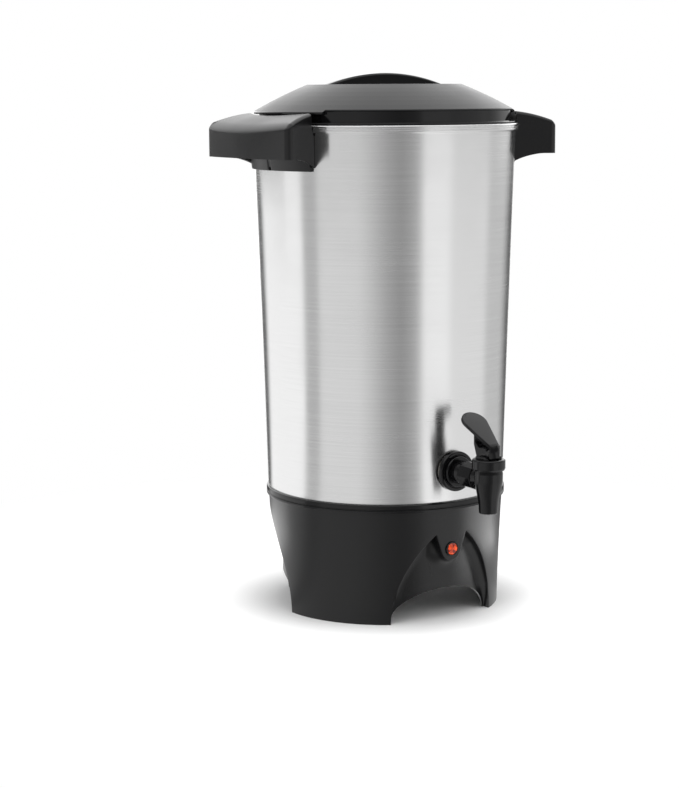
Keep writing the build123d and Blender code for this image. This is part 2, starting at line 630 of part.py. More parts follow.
def lead_routes():
    """Points of each inner lead, from the piece it starts on to the piece it ends on."""
    block_y = BLOCK_Y - BLOCK_SIZE[1] / 2
    high, low = BLOCK_Z + 7.7, BLOCK_Z + 3
    over, hang = high + 2.5, CLAMP_UNDERSIDE_Z - 24.2  # just over the block's wires, below the clamp
    loop = hang - 7
    pins = [polar(SHEATH_CIRCLE_R, angle, SHEATH_Z - PIN_LENGTH) for angle in PIN_ANGLES]
    tabs = [polar(KEEP_WARM_OUT_R + 5.6, angle, KEEP_WARM_Z) for angle in TAB_ANGLES]
    lamp_y = -(LAMP_FACE_R - 24)
    block_to_thermostat = [
        (9, block_y, high), (9, 26, high), (28, 13, over), (48, 11, loop), (*blade_end(-1)[:2], hang),
        blade_end(-1),
    ]
    thermostat_to_pin = [
        blade_end(1), (*blade_end(1)[:2], hang), (37, 27, loop), (21, 27, loop), (*pins[0][:2], hang),
        pins[0],
    ]
    pin_to_block = [
        pins[1], (*pins[1][:2], hang), (2.5, 21, hang - 6), (1.5, 18.5, over + 0.5), (0, 23, high),
        (0, block_y, high),
    ]
    block_to_fuse = [
        (-4, block_y, high), (-4, 24, high), (-14, 0, over + 1), (-27, -24, hang - 3),
        (-39, -42, hang + 10), fuse_end(1, 8), fuse_end(1, 0),
    ]
    fuse_to_tab = [
        fuse_end(-1, 0), fuse_end(-1, 7), (-64, 15, hang + 16), (-63, 30, hang + 12),
        (*tabs[1][:2], hang + 16), tabs[1],
    ]
    tab_to_block = [
        tabs[0], (*tabs[0][:2], hang + 15), (-19, 66, hang - 1), (-25, 44, over), (-20, 26, high),
        (-16, 19.5, high), (-10.5, 20, high), (-9, 27, high), (-9, block_y, high),
    ]
    lamp_leads = [
        [
            (side * 1.2, lamp_y, LAMP_Z), (side * 1.2, -71, LAMP_Z), (side * 2.4, -58, over),
            (x - 3, -40, low), (x, 0, low), (x, block_y, low),
        ]
        for side, x in ((1, 9), (-1, 0))
    ]
    from_block = [block_to_thermostat, block_to_fuse]
    to_block = [pin_to_block, tab_to_block]
    return from_block + [thermostat_to_pin, fuse_to_tab] + to_block + lamp_leads


def lead(points):
    """Round wire along straight runs joined by arcs as large as the shorter run allows."""
    places = [Vector(*point) for point in points]
    runs = [after - before for before, after in zip(places, places[1:])]
    radii = []
    for run, following in zip(runs, runs[1:]):
        half_turn = math.radians(run.get_angle(following)) / 2
        radii.append(0.45 * min(run.length, following.length) / math.tan(half_turn))
    path = FilletPolyline(*places, radius=radii)
    return sweep(Plane(path @ 0, z_dir=path % 0) * Circle(LEAD_R), path)


def make_inner_leads():
    """Sleeved wires between the terminal block, heaters, thermostat, fuse and lamp."""
    return [lead(points) for points in lead_routes()]


# ---------------------------------------------------------------- handles
def handle_plan(inset):
    """Top view of the handle towards +X: radial sides and a straight outer face."""
    inner_x = HANDLE_ROOT_X - 37.5
    inner_y = HANDLE_ROOT_HALF_WIDTH - (HANDLE_ROOT_X - inner_x) * SIDE_SLOPE
    outline = Polyline(
        (inner_x, -inner_y),
        (HANDLE_X, -HANDLE_HALF_WIDTH),
        (HANDLE_X, HANDLE_HALF_WIDTH),
        (inner_x, inner_y),
        close=True,
    )
    face = make_face(outline)
    face = fillet(face.vertices().group_by(Axis.X)[-1], HANDLE_CORNER_R)
    return offset(face, -inset) if inset else face


def handle_profile(drop, low_edge):
    """Side view of the handle (x, z): crowned top, rounded shoulder and the curved lower edge."""
    root_x = HANDLE_ROOT_X - 13.5
    top_in = (root_x, RIM_Z + 10.4 - drop)
    top_mid = (BEAD_R + 2.7, RIM_Z + 7.6 - drop)
    top_out = (HANDLE_X - 8.5, RIM_Z + 1.2 - drop)
    shoulder = (HANDLE_X - 2.6, RIM_Z - 1.9 - drop)
    outer = (HANDLE_X - 0.5, RIM_Z - 7.0 - drop)
    curve = ThreePointArc(top_in, top_mid, top_out) + ThreePointArc(top_out, shoulder, outer)
    if low_edge:
        start = (HANDLE_X - 17, HANDLE_GRIP_Z)
        bend = (HANDLE_X - 30, HANDLE_GRIP_Z - 2.8)
        end = (HANDLE_ROOT_X, HANDLE_GRIP_Z - 11.6)
        lower = Polyline(outer, (HANDLE_X, HANDLE_GRIP_Z), start) + ThreePointArc(start, bend, end)
        lower += Polyline(end, (root_x, HANDLE_GRIP_Z - 18), top_in)
    else:
        past_x = HANDLE_X + CUT
        low = HANDLE_LOW_Z - HANDLE_GRIP_DROP
        lower = Polyline(outer, (past_x, outer[1]), (past_x, low), (root_x, low), top_in)
    half_width = 2 * HANDLE_HALF_WIDTH
    return Pos(0, half_width, 0) * extrude(Plane.XZ * make_face(curve + lower), 2 * half_width)


def make_handle(side_turn):
    """Hollow handle: crowned top, outer wall, two side gussets and a back wall on the steel."""
    deep = HANDLE_LOW_Z - HANDLE_GRIP_DROP
    height = RIM_Z + HANDLE_GRIP_DROP - deep
    plan = Pos(0, 0, deep) * extrude(handle_plan(0), height)
    inner_plan = Pos(0, 0, deep) * extrude(handle_plan(HANDLE_WALL), height)
    back_r = BEAD_R + PLAY + 0.4 + HANDLE_WALL
    back_in = HANDLE_ROOT_X - 13.5
    back = plan & handle_profile(0, False)
    back &= turned(
        (back_in, HANDLE_LOW_Z),
        (tank_radius(HANDLE_LOW_Z) + HANDLE_WALL, HANDLE_LOW_Z),
        (back_r, BEAD_Z - 2),
        (back_r, RIM_Z + LID_EDGE_RISE),
        (back_in, RIM_Z + LID_EDGE_RISE),
    )
    shell = (plan & handle_profile(0, True)) - (inner_plan & handle_profile(HANDLE_WALL, False))
    handle = shell + back
    handle -= TANK_OUTSIDE
    handle -= rod(BEAD_R + PLAY + 0.4, BEAD_Z - PLAY, RIM_Z + LID_RISE)
    handle -= Pos(tank_radius(HANDLE_LOW_Z) + 3.6, 0, HANDLE_LOW_Z) * Box(12, 3.4, 6)
    drill = rod(HANDLE_STUD_R + 0.2, back_in, HANDLE_X - HANDLE_REACH / 2)
    drill += rod(HANDLE_NUT_FLANGE_R + 1.2, HANDLE_NUT_SEAT, HANDLE_NUT_SEAT + 8)
    drill = Pos(0, 0, HANDLE_STUD_Z) * (Rot(0, 90, 0) * drill)
    handle -= [Rot(0, 0, angle) * drill for angle in HANDLE_STUD_ANGLES[:2]]
    return Rot(0, 0, side_turn) * handle


def make_handle_right():
    """Handle towards +X."""
    return make_handle(0)


def make_handle_left():
    """Handle towards -X."""
    return make_handle(180)


def make_handle_nuts():
    """Four flanged nuts on the studs inside the handles."""
    nut = hexagon_nut(HANDLE_NUT_FLATS, HANDLE_STUD_R, 0, 3.6)
    nut += tube(HANDLE_NUT_FLANGE_R, HANDLE_STUD_R, 0, 0.9)
    nut = Pos(0, 0, HANDLE_STUD_Z) * (Rot(0, 90, 0) * nut)
    return at_angles(nut, HANDLE_NUT_SEAT, HANDLE_STUD_ANGLES)


# ---------------------------------------------------------------- lid
def lid_outline():
    """Half section of the lid: top, lip, skirt with its seat flange, and the inside."""
    middle = ((LID_FLAT_R + LID_EDGE_R) / 2, (LID_FLAT_Z + LID_EDGE_Z) / 2 + 0.9)
    inner_middle = (middle[0] - 1.1, middle[1] - LID_WALL)
    edge = (LID_EDGE_R, LID_EDGE_Z)
    flat = (LID_FLAT_R, LID_FLAT_Z)
    lip_z = LID_EDGE_Z - 1.4
    flange_z = RIM_Z + 2 * TINY
    flange_r = BEAD_R - 1.8
    skirt_in = LID_SKIRT_R - LID_WALL
    ceiling = LID_FLAT_Z - LID_WALL
    top = Polyline(
        (0, RECESS_FLOOR_Z),
        (RECESS_FLOOR_R, RECESS_FLOOR_Z),
        (RECESS_R, LID_FLAT_Z - 0.8),
        (RECESS_R + 0.8, LID_FLAT_Z),
        flat,
    )
    rim = Polyline(
        edge,
        (LID_EDGE_R, lip_z),
        (LID_SKIRT_R, lip_z),
        (LID_SKIRT_R, RIM_Z + 1.8),
        (flange_r, RIM_Z + 1.8),
        (flange_r, flange_z),
        (LID_SKIRT_R, flange_z),
        (LID_SKIRT_R, RIM_Z - LID_PLUG_DEPTH),
        (skirt_in, RIM_Z - LID_PLUG_DEPTH),
        (skirt_in, lip_z - 0.2),
    )
    under = Polyline(
        (LID_FLAT_R - 0.8, ceiling),
        (RECESS_R + 2.6, ceiling),
        (RECESS_FLOOR_R + 1.8, RECESS_FLOOR_Z - LID_WALL),
        (0, RECESS_FLOOR_Z - LID_WALL),
        (0, RECESS_FLOOR_Z),
    )
    dome = ThreePointArc(flat, middle, edge)
    dome_inside = ThreePointArc((skirt_in, lip_z - 0.2), inner_middle, (LID_FLAT_R - 0.8, ceiling))
    return make_face(top + dome + rim + dome_inside + under)


def make_lid_shell():
    """Lid: domed top with a round recess, lip, skirt, seat flange, plug and two ears."""
    shell = revolve(Plane.XZ * lid_outline(), Axis.Z)
    ear_r = LID_EDGE_R + EAR_PROUD
    ear_ring = turned(
        (LID_SKIRT_R - 1, LID_EDGE_Z - 0.4),
        (LID_EDGE_R - 1.4, LID_EDGE_Z + 0.6),
        (ear_r - 0.3, LID_EDGE_Z - 1.9),
        (ear_r, LID_EDGE_Z - 2.4),
        (ear_r, LID_EDGE_Z - 3.9),
        (LID_SKIRT_R - 1, LID_EDGE_Z - 3.9),
    )
    reach = BEAD_R + LID_EDGE_RISE
    half = reach * math.tan(math.radians(EAR_HALF_ANGLE))
    wedge = make_face(Polyline((0, 0), (reach, -half), (reach, half), close=True))
    wedge = Pos(0, 0, RIM_Z) * extrude(wedge, LID_RISE)
    ears = ear_ring & (wedge + Rot(0, 0, 180) * wedge)
    hole = rod(GRIP_SCREW_R + 0.8, RECESS_FLOOR_Z - LID_WALL - CUT, RECESS_FLOOR_Z + CUT)
    return shell + ears - [Pos(x, 0, 0) * hole for x in (-GRIP_SCREW_X, GRIP_SCREW_X)]


def make_lid_grip():
    """Arched grip bar that stands in the lid's recess, along the line of the handles."""
    end_x = RECESS_R - 0.4
    foot_x = RECESS_FLOOR_R - 0.5
    low = RECESS_FLOOR_Z
    spring_z = LID_FLAT_Z - 0.4
    arch = ThreePointArc((-end_x, spring_z), (0, GRIP_TOP_Z), (end_x, spring_z))
    arch += Polyline((end_x, spring_z), (foot_x, low), (-foot_x, low), (-end_x, spring_z))
    bar = reach_front(make_face(arch), -GRIP_HALF_WIDTH, GRIP_HALF_WIDTH)
    bar = fillet(bar.edges().filter_by(GeomType.CIRCLE), GRIP_ROUND)
    pilot = rod(GRIP_SCREW_R, low - CUT, low + 12)
    return bar - [Pos(x, 0, 0) * pilot for x in (-GRIP_SCREW_X, GRIP_SCREW_X)]


def make_lid_grip_screws():
    """Two pan-head screws from under the recess into the grip."""
    screw = Pos(0, 0, RECESS_FLOOR_Z - LID_WALL) * pan_screw(GRIP_SCREW_R, 12)
    return [Pos(x, 0, 0) * screw for x in (-GRIP_SCREW_X, GRIP_SCREW_X)]


# ---------------------------------------------------------------- percolator stack
FOOT_SOCKET_Z = FOOT_Z + 12.2  # the tube's lower end rests here
FOOT_HEIGHT = 21.0
VALVE_SEAT_Z = FOOT_Z + 8.0


def make_pump_tube():
    """Percolator tube with the collar that carries the basket."""
    pipe = tube(STEM_R, STEM_BORE_R, FOOT_SOCKET_Z, STEM_TOP_Z)
    collar_top = BASKET_Z - 2 * TINY
    collar = turned(
        (STEM_BORE_R + 0.3, collar_top - 4.9),
        (STEM_R + 0.2, collar_top - 4.9),
        (COLLAR_R, collar_top - 1.5),
        (COLLAR_R, collar_top),
        (STEM_BORE_R + 0.3, collar_top),
    )
    return pipe + collar


def make_pump_foot():
    """Bell foot that stands in the heating well, with the valve's seat and inlet notches."""
    z = FOOT_Z
    bell = turned(
        (FOOT_R - 1.4, z),
        (FOOT_R, z),
        (FOOT_R, z + 1.4),
        (FOOT_SOCKET_R, FOOT_SOCKET_Z),
        (FOOT_SOCKET_R, z + FOOT_HEIGHT),
        (STEM_R, z + FOOT_HEIGHT),
        (STEM_R, FOOT_SOCKET_Z),
        (VALVE_R + 1.8, FOOT_SOCKET_Z),
        (VALVE_R + 1.8, VALVE_SEAT_Z),
        (3.0, VALVE_SEAT_Z),
        (3.0, VALVE_SEAT_Z - 1),
        (FOOT_SOCKET_R + 3, VALVE_SEAT_Z - 1),
        (FOOT_R - 1.4, z + 0.9),
    )
    notch = Box(6, 5, 4)
    return bell - at_angles(Pos(0, 0, z) * notch, FOOT_R, [45, 135, 225, 315])


def make_pump_valve():
    """Loose washer that lifts off its seat as the foot fills."""
    return rod(VALVE_R, VALVE_SEAT_Z + TINY, VALVE_SEAT_Z + TINY + 1)


def perk_holes(low, high, ring_radii, pitch):
    """Upright drills for the perforated plates, evenly spaced round each ring."""
    drill = rod(PERK_HOLE_R, low, high)
    holes = []
    for radius in ring_radii:
        count = round(math.tau * radius / pitch)
        holes += [Rot(0, 0, 360 / count * index) * Pos(radius, 0, 0) * drill for index in range(count)]
    return holes


def make_coffee_basket():
    """Perforated basket for the ground coffee, with a centre tube that slides on the pump tube."""
    z = BASKET_Z
    top = z + BASKET_HEIGHT
    sleeve_in = STEM_R + 0.4
    cup = turned(
        (sleeve_in, z),
        (BASKET_R - 5, z),
        (BASKET_R - 2, z + 3),
        (BASKET_R, top - 1.4),
        (BASKET_R + 1.6, top - 1.4),
        (BASKET_R + 1.6, top),
        (BASKET_R - BASKET_WALL, top),
        (BASKET_R - 2 - BASKET_WALL, z + 3.4),
        (BASKET_R - 5.4, z + BASKET_WALL),
        (sleeve_in + 1, z + BASKET_WALL),
        (sleeve_in + 1, top - 2),
        (sleeve_in, top - 2),
    )
    return cup - perk_holes(z - CUT, z + CUT, BASKET_HOLE_RINGS, BASKET_HOLE_PITCH)


def make_basket_lid():
    """Perforated spreader that rests on the basket's rim and spreads the water."""
    z = SPREADER_Z
    rim_r = BASKET_R + 2.8
    crown_r = 20.0
    plate = turned(
        (STEM_R + 0.6, z + 1),
        (crown_r, z + 1),
        (crown_r + 2, z),
        (rim_r - 1.2, z),
        (rim_r, z + 4),
        (rim_r - 1, z + 4.2),
        (rim_r - 2, z + 1),
        (crown_r + 2.6, z + 1),
        (crown_r + 0.6, z + 2),
        (STEM_R + 0.6, z + 2),
    )
    return plate - perk_holes(z - CUT, z + CUT, SPREADER_HOLE_RINGS, SPREADER_HOLE_PITCH)


# ---------------------------------------------------------------- tap
def at_spout(shape):
    """Move a shape that was made about Z onto the spout's axis."""
    return Pos(0, -SPOUT_OUT, 0) * shape


def make_tap_outer_gasket():
    """Silicone gasket between the steel body and the tap's flange."""
    return along_tap(tube(FLANGE_R - 2.4, TAP_SHANK_R, TANK_FACE - 3, FLANGE_BACK)) - TANK_OUTSIDE


def make_tap_flange():
    """Round flange with a raised inner step."""
    back = FLANGE_BACK
    flange = turned(
        (TAP_SHANK_R, back),
        (FLANGE_R - 0.6, back),
        (FLANGE_R, back + 0.8),
        (FLANGE_R, back + 3.0),
        (FLANGE_R - 1.0, back + 4.2),
        (FLANGE_R - 2.8, back + 4.4),
        (FLANGE_R - 3.2, back + 3.7),
        (FLANGE_R - 3.7, back + 3.7),
        (FLANGE_R - 4.0, back + 6.8),
        (FLANGE_R - 4.8, NECK_BACK),
        (TAP_SHANK_R, NECK_BACK),
    )
    return along_tap(flange)


def make_tap_body():
    """Tap casting: shank, neck with wrench flats, valve chamber and spout."""
    z = BODY_Z
    mouth = (7.85, z)
    shoulder = (12.1, BONNET_Z - 3)
    side = Spline(mouth, (8.2, z + 6), (9.0, z + 12.5), (10.7, z + 20), (12.0, z + 27), shoulder)
    outline = side + Polyline(shoulder, (11.4, BONNET_Z), (0, BONNET_Z), (0, z), mouth)
    body = at_spout(revolve(Plane.XZ * make_face(outline), Axis.Z))
    body += along_tap(rod(NECK_R, NECK_BACK, SPOUT_OUT - 4))
    flats_start = NECK_BACK + 10.5
    flats = extrude(RegularPolygon(NECK_R + 1.3, 8), SPOUT_OUT - 13 - flats_start)
    body += along_tap(Pos(0, 0, flats_start) * flats)
    shank_end = NUT_FRONT - NUT_THICKNESS - 4
    body += along_tap(rod(TAP_SHANK_R, shank_end, NECK_BACK + 1))
    body -= along_tap(rod(TAP_BORE_R, shank_end - 1, SPOUT_OUT - 4))
    body -= at_spout(rod(BONNET_R + PLAY, BONNET_Z, BONNET_TOP_Z))
    body -= at_spout(rod(SPOUT_BORE_R, z - CUT, SEAT_Z + 1))
    return body - at_spout(rod(CHAMBER_R, SEAT_Z, BONNET_Z + 1))


def make_tap_inner_gasket():
    """Silicone gasket inside the vessel, under the nut."""
    blank = along_tap(tube(13, TAP_SHANK_R, NUT_FRONT, TANK_FACE + 2))
    return blank & tank_blank(TANK_WALL + TINY)


def make_tap_nut():
    """Nut that draws the tap's shank through the vessel's wall."""
    return along_tap(hexagon_nut(26, TAP_SHANK_R, NUT_FRONT - NUT_THICKNESS, NUT_FRONT))


def make_tap_bonnet():
    """Screwed cap over the valve chamber, with two ears that guide the lever."""
    bore_r = 2.4
    spigot_r = CHAMBER_R - 0.1
    cap = turned(
        (bore_r, BONNET_Z - BONNET_SPIGOT),
        (spigot_r, BONNET_Z - BONNET_SPIGOT),
        (spigot_r, BONNET_Z),
        (BONNET_R - 0.8, BONNET_Z),
        (BONNET_R - 0.5, BONNET_Z + 0.8),
        (BONNET_R, BONNET_Z + 1.6),
        (BONNET_R, BONNET_TOP_Z - 1.4),
        (BONNET_R - 1.4, BONNET_TOP_Z),
        (bore_r, BONNET_TOP_Z),
    )
    ear_width = 3.4
    ear_x = HUB_HALF_WIDTH + 0.5 + ear_width / 2
    ear = Pos(ear_x, 0, BONNET_TOP_Z + 0.6) * Box(ear_width, BONNET_R, 3.6)
    ear = fillet(ear.edges().filter_by(Axis.X).group_by(Axis.Z)[-1], 1.6)
    return at_spout(cap + ear + mirror(ear, Plane.YZ))


def make_tap_stem():
    """Valve stem: head in the seat cup, spring collar, and an eye for the lever's pin."""
    low = SEAT_Z + 2
    stem = rod(2, low, STEM_PIN_Z + 2.5) + rod(3.6, low, low + 1.6)
    stem += rod(5.4, SEAT_Z + CUP_HEIGHT, SEAT_Z + CUP_HEIGHT + 1)
    pin_hole = Pos(0, 0, STEM_PIN_Z) * (Rot(0, 90, 0) * Cylinder(LEVER_PIN_R, 2 * CHAMBER_R))
    return at_spout(stem - pin_hole)


def make_seat_cup():
    """Silicone cup that closes the outlet."""
    z = SEAT_Z + TINY
    top = SEAT_Z + CUP_HEIGHT
    lip_r = CHAMBER_R - 0.7
    cup = turned((0, z), (lip_r, z), (lip_r, z + 1.4), (6.4, z + 5), (4.6, top), (0, top))
    low = SEAT_Z + 2
    return at_spout(cup - rod(3.6, low, low + 1.6) - rod(2, low, top + 1))


def make_tap_spring():
    """Compression spring that holds the seat cup down."""
    low = SEAT_Z + CUP_HEIGHT + 1 + SPRING_WIRE_R
    height = BONNET_Z - BONNET_SPIGOT - SPRING_WIRE_R - low
    path = Helix(pitch=height / SPRING_TURNS, height=height, radius=SPRING_R)
    section = Plane(path @ 0, z_dir=path % 0) * Circle(SPRING_WIRE_R)
    return at_spout(Pos(0, 0, low) * sweep(section, path, is_frenet=True))


def make_lever_pin():
    """Cross pin that hangs the stem in the lever's slots."""
    pin = Rot(0, 90, 0) * Cylinder(LEVER_PIN_R, 2 * HUB_HALF_WIDTH - 1)
    return at_spout(Pos(0, 0, STEM_PIN_Z) * pin)


def lever_hub():
    """Forked hub: drawn from the side with "out" to the right, then laid so that out is -Y."""
    out, low = PIVOT_OUT, PIVOT_Z
    tilt = math.radians(LEVER_TILT)
    along = (-math.cos(tilt), math.sin(tilt))
    front = (out + 1.1, low + HUB_HEIGHT)
    under = (front[0] - LEVER_THICKNESS * math.sin(tilt), front[1] - LEVER_THICKNESS * math.cos(tilt))
    run = 26.0
    outline = Polyline(
        (out, low),
        (out + 0.7, low + 0.7),
        front,
        (front[0] + run * along[0], front[1] + run * along[1]),
        (under[0] + run * along[0], under[1] + run * along[1]),
        (out - 22.5, low + 10),
        (out - 18.7, low),
        close=True,
    )
    hub = mirror(extrude(Plane.YZ * make_face(outline), HUB_HALF_WIDTH, both=True), Plane.XZ)
    fork = Box(4.8, 11.3, 2 * HUB_HEIGHT)
    hub -= Pos(0, -(out - 10.85), low - 0.8) * fork
    pin_slot = Box(2 * HUB_HALF_WIDTH + CUT, 8.1, 3.5)
    return hub - Pos(0, -(out - 10.45), STEM_PIN_Z + 0.25) * pin_slot


def lever_paddle():
    """Flat paddle that widens to a round tip, drawn along +X from the hub's upper front edge."""
    shoulder = 31.0
    root = (0, HUB_HALF_WIDTH + 0.2)
    wide = (shoulder, PADDLE_HALF_WIDTH)
    side = Line(root, wide)
    tip = ThreePointArc(wide, (PADDLE_LENGTH, 0), (shoulder, -PADDLE_HALF_WIDTH))
    ends = Polyline((shoulder, -PADDLE_HALF_WIDTH), (0, -root[1]), root)
    blade = extrude(make_face(side + tip + ends), -LEVER_THICKNESS)
    rims = blade.edges().group_by(Axis.Z)
    return fillet(rims[0] + rims[-1], 0.9)


def make_tap_lever():
    """Lever: a forked hub that rocks on the bonnet, and a paddle that rises away from the spout."""
    laid = Rot(LEVER_TILT, 0, 0) * (Rot(0, 0, 90) * lever_paddle())
    return lever_hub() + Pos(0, -(PIVOT_OUT + 1.1), PIVOT_Z + HUB_HEIGHT) * laid


# ---------------------------------------------------------------- all pieces
MAKERS = [
    make_tank,
    make_seam_ring,
    make_base_skirt,
    make_base_drum,
    make_bottom_cover,
    make_bottom_cover_screws,
    make_base_nuts,
    make_perking_heater,
    make_keep_warm_heater,
    make_heater_clamp,
    make_clamp_nut,
    make_thermostat,
    make_thermal_fuse,
    make_heat_shield,
    make_terminal_block,
    make_terminal_screws,
    make_lamp_bezel,
    make_lamp_lens,
    make_lamp_tube,
    make_inner_leads,
    make_handle_right,
    make_handle_left,
    make_handle_nuts,
    make_lid_shell,
    make_lid_grip,
    make_lid_grip_screws,
    make_basket_lid,
    make_coffee_basket,
    make_pump_tube,
    make_pump_foot,
    make_pump_valve,
    make_tap_outer_gasket,
    make_tap_flange,
    make_tap_inner_gasket,
    make_tap_nut,
    make_tap_body,
    make_tap_bonnet,
    make_tap_stem,
    make_seat_cup,
    make_tap_spring,
    make_tap_lever,
    make_lever_pin,
]

os.makedirs("parts", exist_ok=True)
for maker in MAKERS:
    shape = maker()
    if isinstance(shape, (list, tuple)):
        shape = Compound(children=[solid for item in shape for solid in item.solids()])
    export_step(shape, f"parts/{maker.__name__.removeprefix('make_')}.step")
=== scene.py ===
"""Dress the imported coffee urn: turned, moulded and pressed surfaces, finishes, camera and studio."""

import logging
import math
from dataclasses import dataclass
from enum import Enum
from functools import cache

import bmesh
import bpy
import numpy as np
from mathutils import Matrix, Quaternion, Vector

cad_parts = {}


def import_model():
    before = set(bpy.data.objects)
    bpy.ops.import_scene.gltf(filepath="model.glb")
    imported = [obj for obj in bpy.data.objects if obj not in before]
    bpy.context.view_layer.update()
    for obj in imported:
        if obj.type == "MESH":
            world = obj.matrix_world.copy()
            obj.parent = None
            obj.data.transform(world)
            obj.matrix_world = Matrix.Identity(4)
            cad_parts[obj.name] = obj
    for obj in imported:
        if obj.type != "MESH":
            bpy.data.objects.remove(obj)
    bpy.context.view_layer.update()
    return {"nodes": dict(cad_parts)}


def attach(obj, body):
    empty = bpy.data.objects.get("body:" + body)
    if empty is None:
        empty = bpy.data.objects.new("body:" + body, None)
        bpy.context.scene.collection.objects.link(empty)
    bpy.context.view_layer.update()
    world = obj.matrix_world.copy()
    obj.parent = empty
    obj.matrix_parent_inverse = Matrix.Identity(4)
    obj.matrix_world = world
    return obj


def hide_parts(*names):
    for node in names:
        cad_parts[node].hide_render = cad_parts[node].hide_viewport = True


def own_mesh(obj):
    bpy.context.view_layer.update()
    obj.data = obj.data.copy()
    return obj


LOG = logging.getLogger("coffee_urn")
MM = 0.001  # metres in a millimetre
Array = np.ndarray
Colour = tuple[float, float, float, float]


class Body(Enum):
    """Bodies of the frame that pieces ride on."""

    URN = "urn"
    PUMP = "pump"
    VALVE = "valve"
    BASKET = "basket"
    SPREADER = "spreader"
    LID = "lid"
    LEVER = "lever"
    STEM = "stem"


class Slot(Enum):
    """Material slots of the record."""

    BRUSHED_STEEL = "brushed_steel"
    BRIGHT_STEEL = "bright_steel"
    SATIN_BLACK = "satin_black"
    GLOSS_BLACK = "gloss_black"
    LAMP_RED = "lamp_red"
    LAMP_GLASS = "lamp_glass"
    ALUMINIUM = "aluminium"
    SILICONE = "silicone"
    ZINC_STEEL = "zinc_steel"
    BRASS = "brass"
    CERAMIC_WHITE = "ceramic_white"
    DARK_CERAMIC = "dark_ceramic"


class Side(Enum):
    """Sides of the urn, each with its bearing from the right one."""

    RIGHT = 0
    LEFT = 180


# ---------------------------------------------------------------- outlines and grids
def rounded(corners: Array, radii: Array, closed: bool = False, steps: int = 6) -> Array:
    """Round the corners of an outline.

    Each corner gives way to an arc tangent to both of its runs. With a and b the unit runs into and out
    of the corner and t the turn between them, the arc starts r tan(t/2) before the corner, and its point
    at angle s is start + r sin(s) a + r (1 - cos(s)) n, where n is the unit normal of a towards b. One
    more point stands just before and just after each arc, so that smooth shading stays on the arc.

    Args:
        corners: Corner points, n x 2, in millimetres.
        radii: One radius for each corner, or one for all.
        closed: Whether the last corner runs on to the first.
        steps: Runs in each arc.

    Returns:
        Points of the rounded outline, m x 2.
    """
    corners = np.asarray(corners, float)
    radii = np.broadcast_to(np.asarray(radii, float), len(corners))
    at = corners if closed else corners[1:-1]
    radii = radii if closed else radii[1:-1]
    run_in = at - (np.roll(corners, 1, axis=0) if closed else corners[:-2])
    run_out = (np.roll(corners, -1, axis=0) if closed else corners[2:]) - at
    length_in = np.linalg.norm(run_in, axis=1)
    length_out = np.linalg.norm(run_out, axis=1)
    a = run_in / length_in[:, None]
    b = run_out / length_out[:, None]
    cosine = np.clip((a * b).sum(axis=1), -1, 1)
    turn = np.arccos(cosine)
    slope = np.maximum(np.tan(turn / 2), 1e-6)
    reach = np.minimum(radii * slope, 0.45 * np.minimum(length_in, length_out))
    radius = reach / slope
    normal = b - cosine[:, None] * a
    normal /= np.maximum(np.linalg.norm(normal, axis=1), 1e-9)[:, None]
    swing = turn[:, None] * np.linspace(0, 1, steps + 1)
    across = np.sin(swing)[..., None] * a[:, None] + (1 - np.cos(swing))[..., None] * normal[:, None]
    arcs = (at - a * reach[:, None])[:, None] + radius[:, None, None] * across
    margin_in = np.minimum(0.3, 0.04 * length_in)
    margin_out = np.minimum(0.3, 0.04 * length_out)
    ahead = at - a * (reach + margin_in)[:, None]
    behind = at + b * (reach + margin_out)[:, None]
    points = np.concatenate([ahead[:, None], arcs, behind[:, None]], axis=1).reshape(-1, 2)
    return points if closed else np.vstack([corners[:1], points, corners[-1:]])


def arc_through(first: Array, middle: Array, last: Array, count: int) -> Array:
    """Points of the circular arc through three points.

    The centre is where the two chords' mid-normals meet, and the angle runs evenly from the first
    point's to the last point's.

    Args:
        first: Where the arc starts.
        middle: Any point of it between its ends.
        last: Where it ends.
        count: How many points to give.

    Returns:
        Points of the arc, count x 2.
    """
    first, middle, last = (np.asarray(point, float) for point in (first, middle, last))
    rows = 2 * np.array([middle - first, last - first])
    centre = np.linalg.solve(rows, [middle @ middle - first @ first, last @ last - first @ first])
    start, via, end = (math.atan2(*(point - centre)[::-1]) for point in (first, middle, last))
    via = start + math.remainder(via - start, math.tau)
    end = via + math.remainder(end - via, math.tau)
    swing = np.linspace(start, end, count)
    radius = np.linalg.norm(first - centre)
    return centre + radius * np.column_stack([np.cos(swing), np.sin(swing)])


def walked(line: Array) -> Array:
    """Distance along a line from its first point to each point."""
    return np.concatenate([[0], np.cumsum(np.linalg.norm(np.diff(line, axis=0), axis=1))])


def sampled(line: Array, along: Array, places: Array) -> Array:
    """Points of a plane line at some places, where along tells the place of each of its own points."""
    return np.column_stack([np.interp(places, along, line[:, axis]) for axis in (0, 1)])


def right_of(tangent: Array) -> Array:
    """Unit normals to the right of a line's tangents, which is outwards on an anticlockwise one."""
    normal = np.column_stack([tangent[:, 1], -tangent[:, 0]])
    return normal / np.linalg.norm(normal, axis=1)[:, None]


def softened(line: Array, reach: int, spread: float) -> Array:
    """Soften a line's corners by a Gaussian mean along it.

    A point becomes the mean of its neighbours with weights exp(-(k / spread)^2 / 2), k being how many
    points away they are. Past its ends the line goes on as its own point reflection, so they stay put.

    Args:
        line: Points, n x 2.
        reach: How many neighbours on each side take part.
        spread: Spread of the weights, in points.

    Returns:
        The softened points, n x 2.
    """
    weights = np.exp(-0.5 * (np.arange(-reach, reach + 1) / spread) ** 2)
    weights /= weights.sum()
    before = 2 * line[0] - line[reach:0:-1]
    after = 2 * line[-1] - line[-2 : -reach - 2 : -1]
    padded = np.vstack([before, line, after])
    return np.column_stack([np.convolve(padded[:, axis], weights, mode="valid") for axis in (0, 1)])


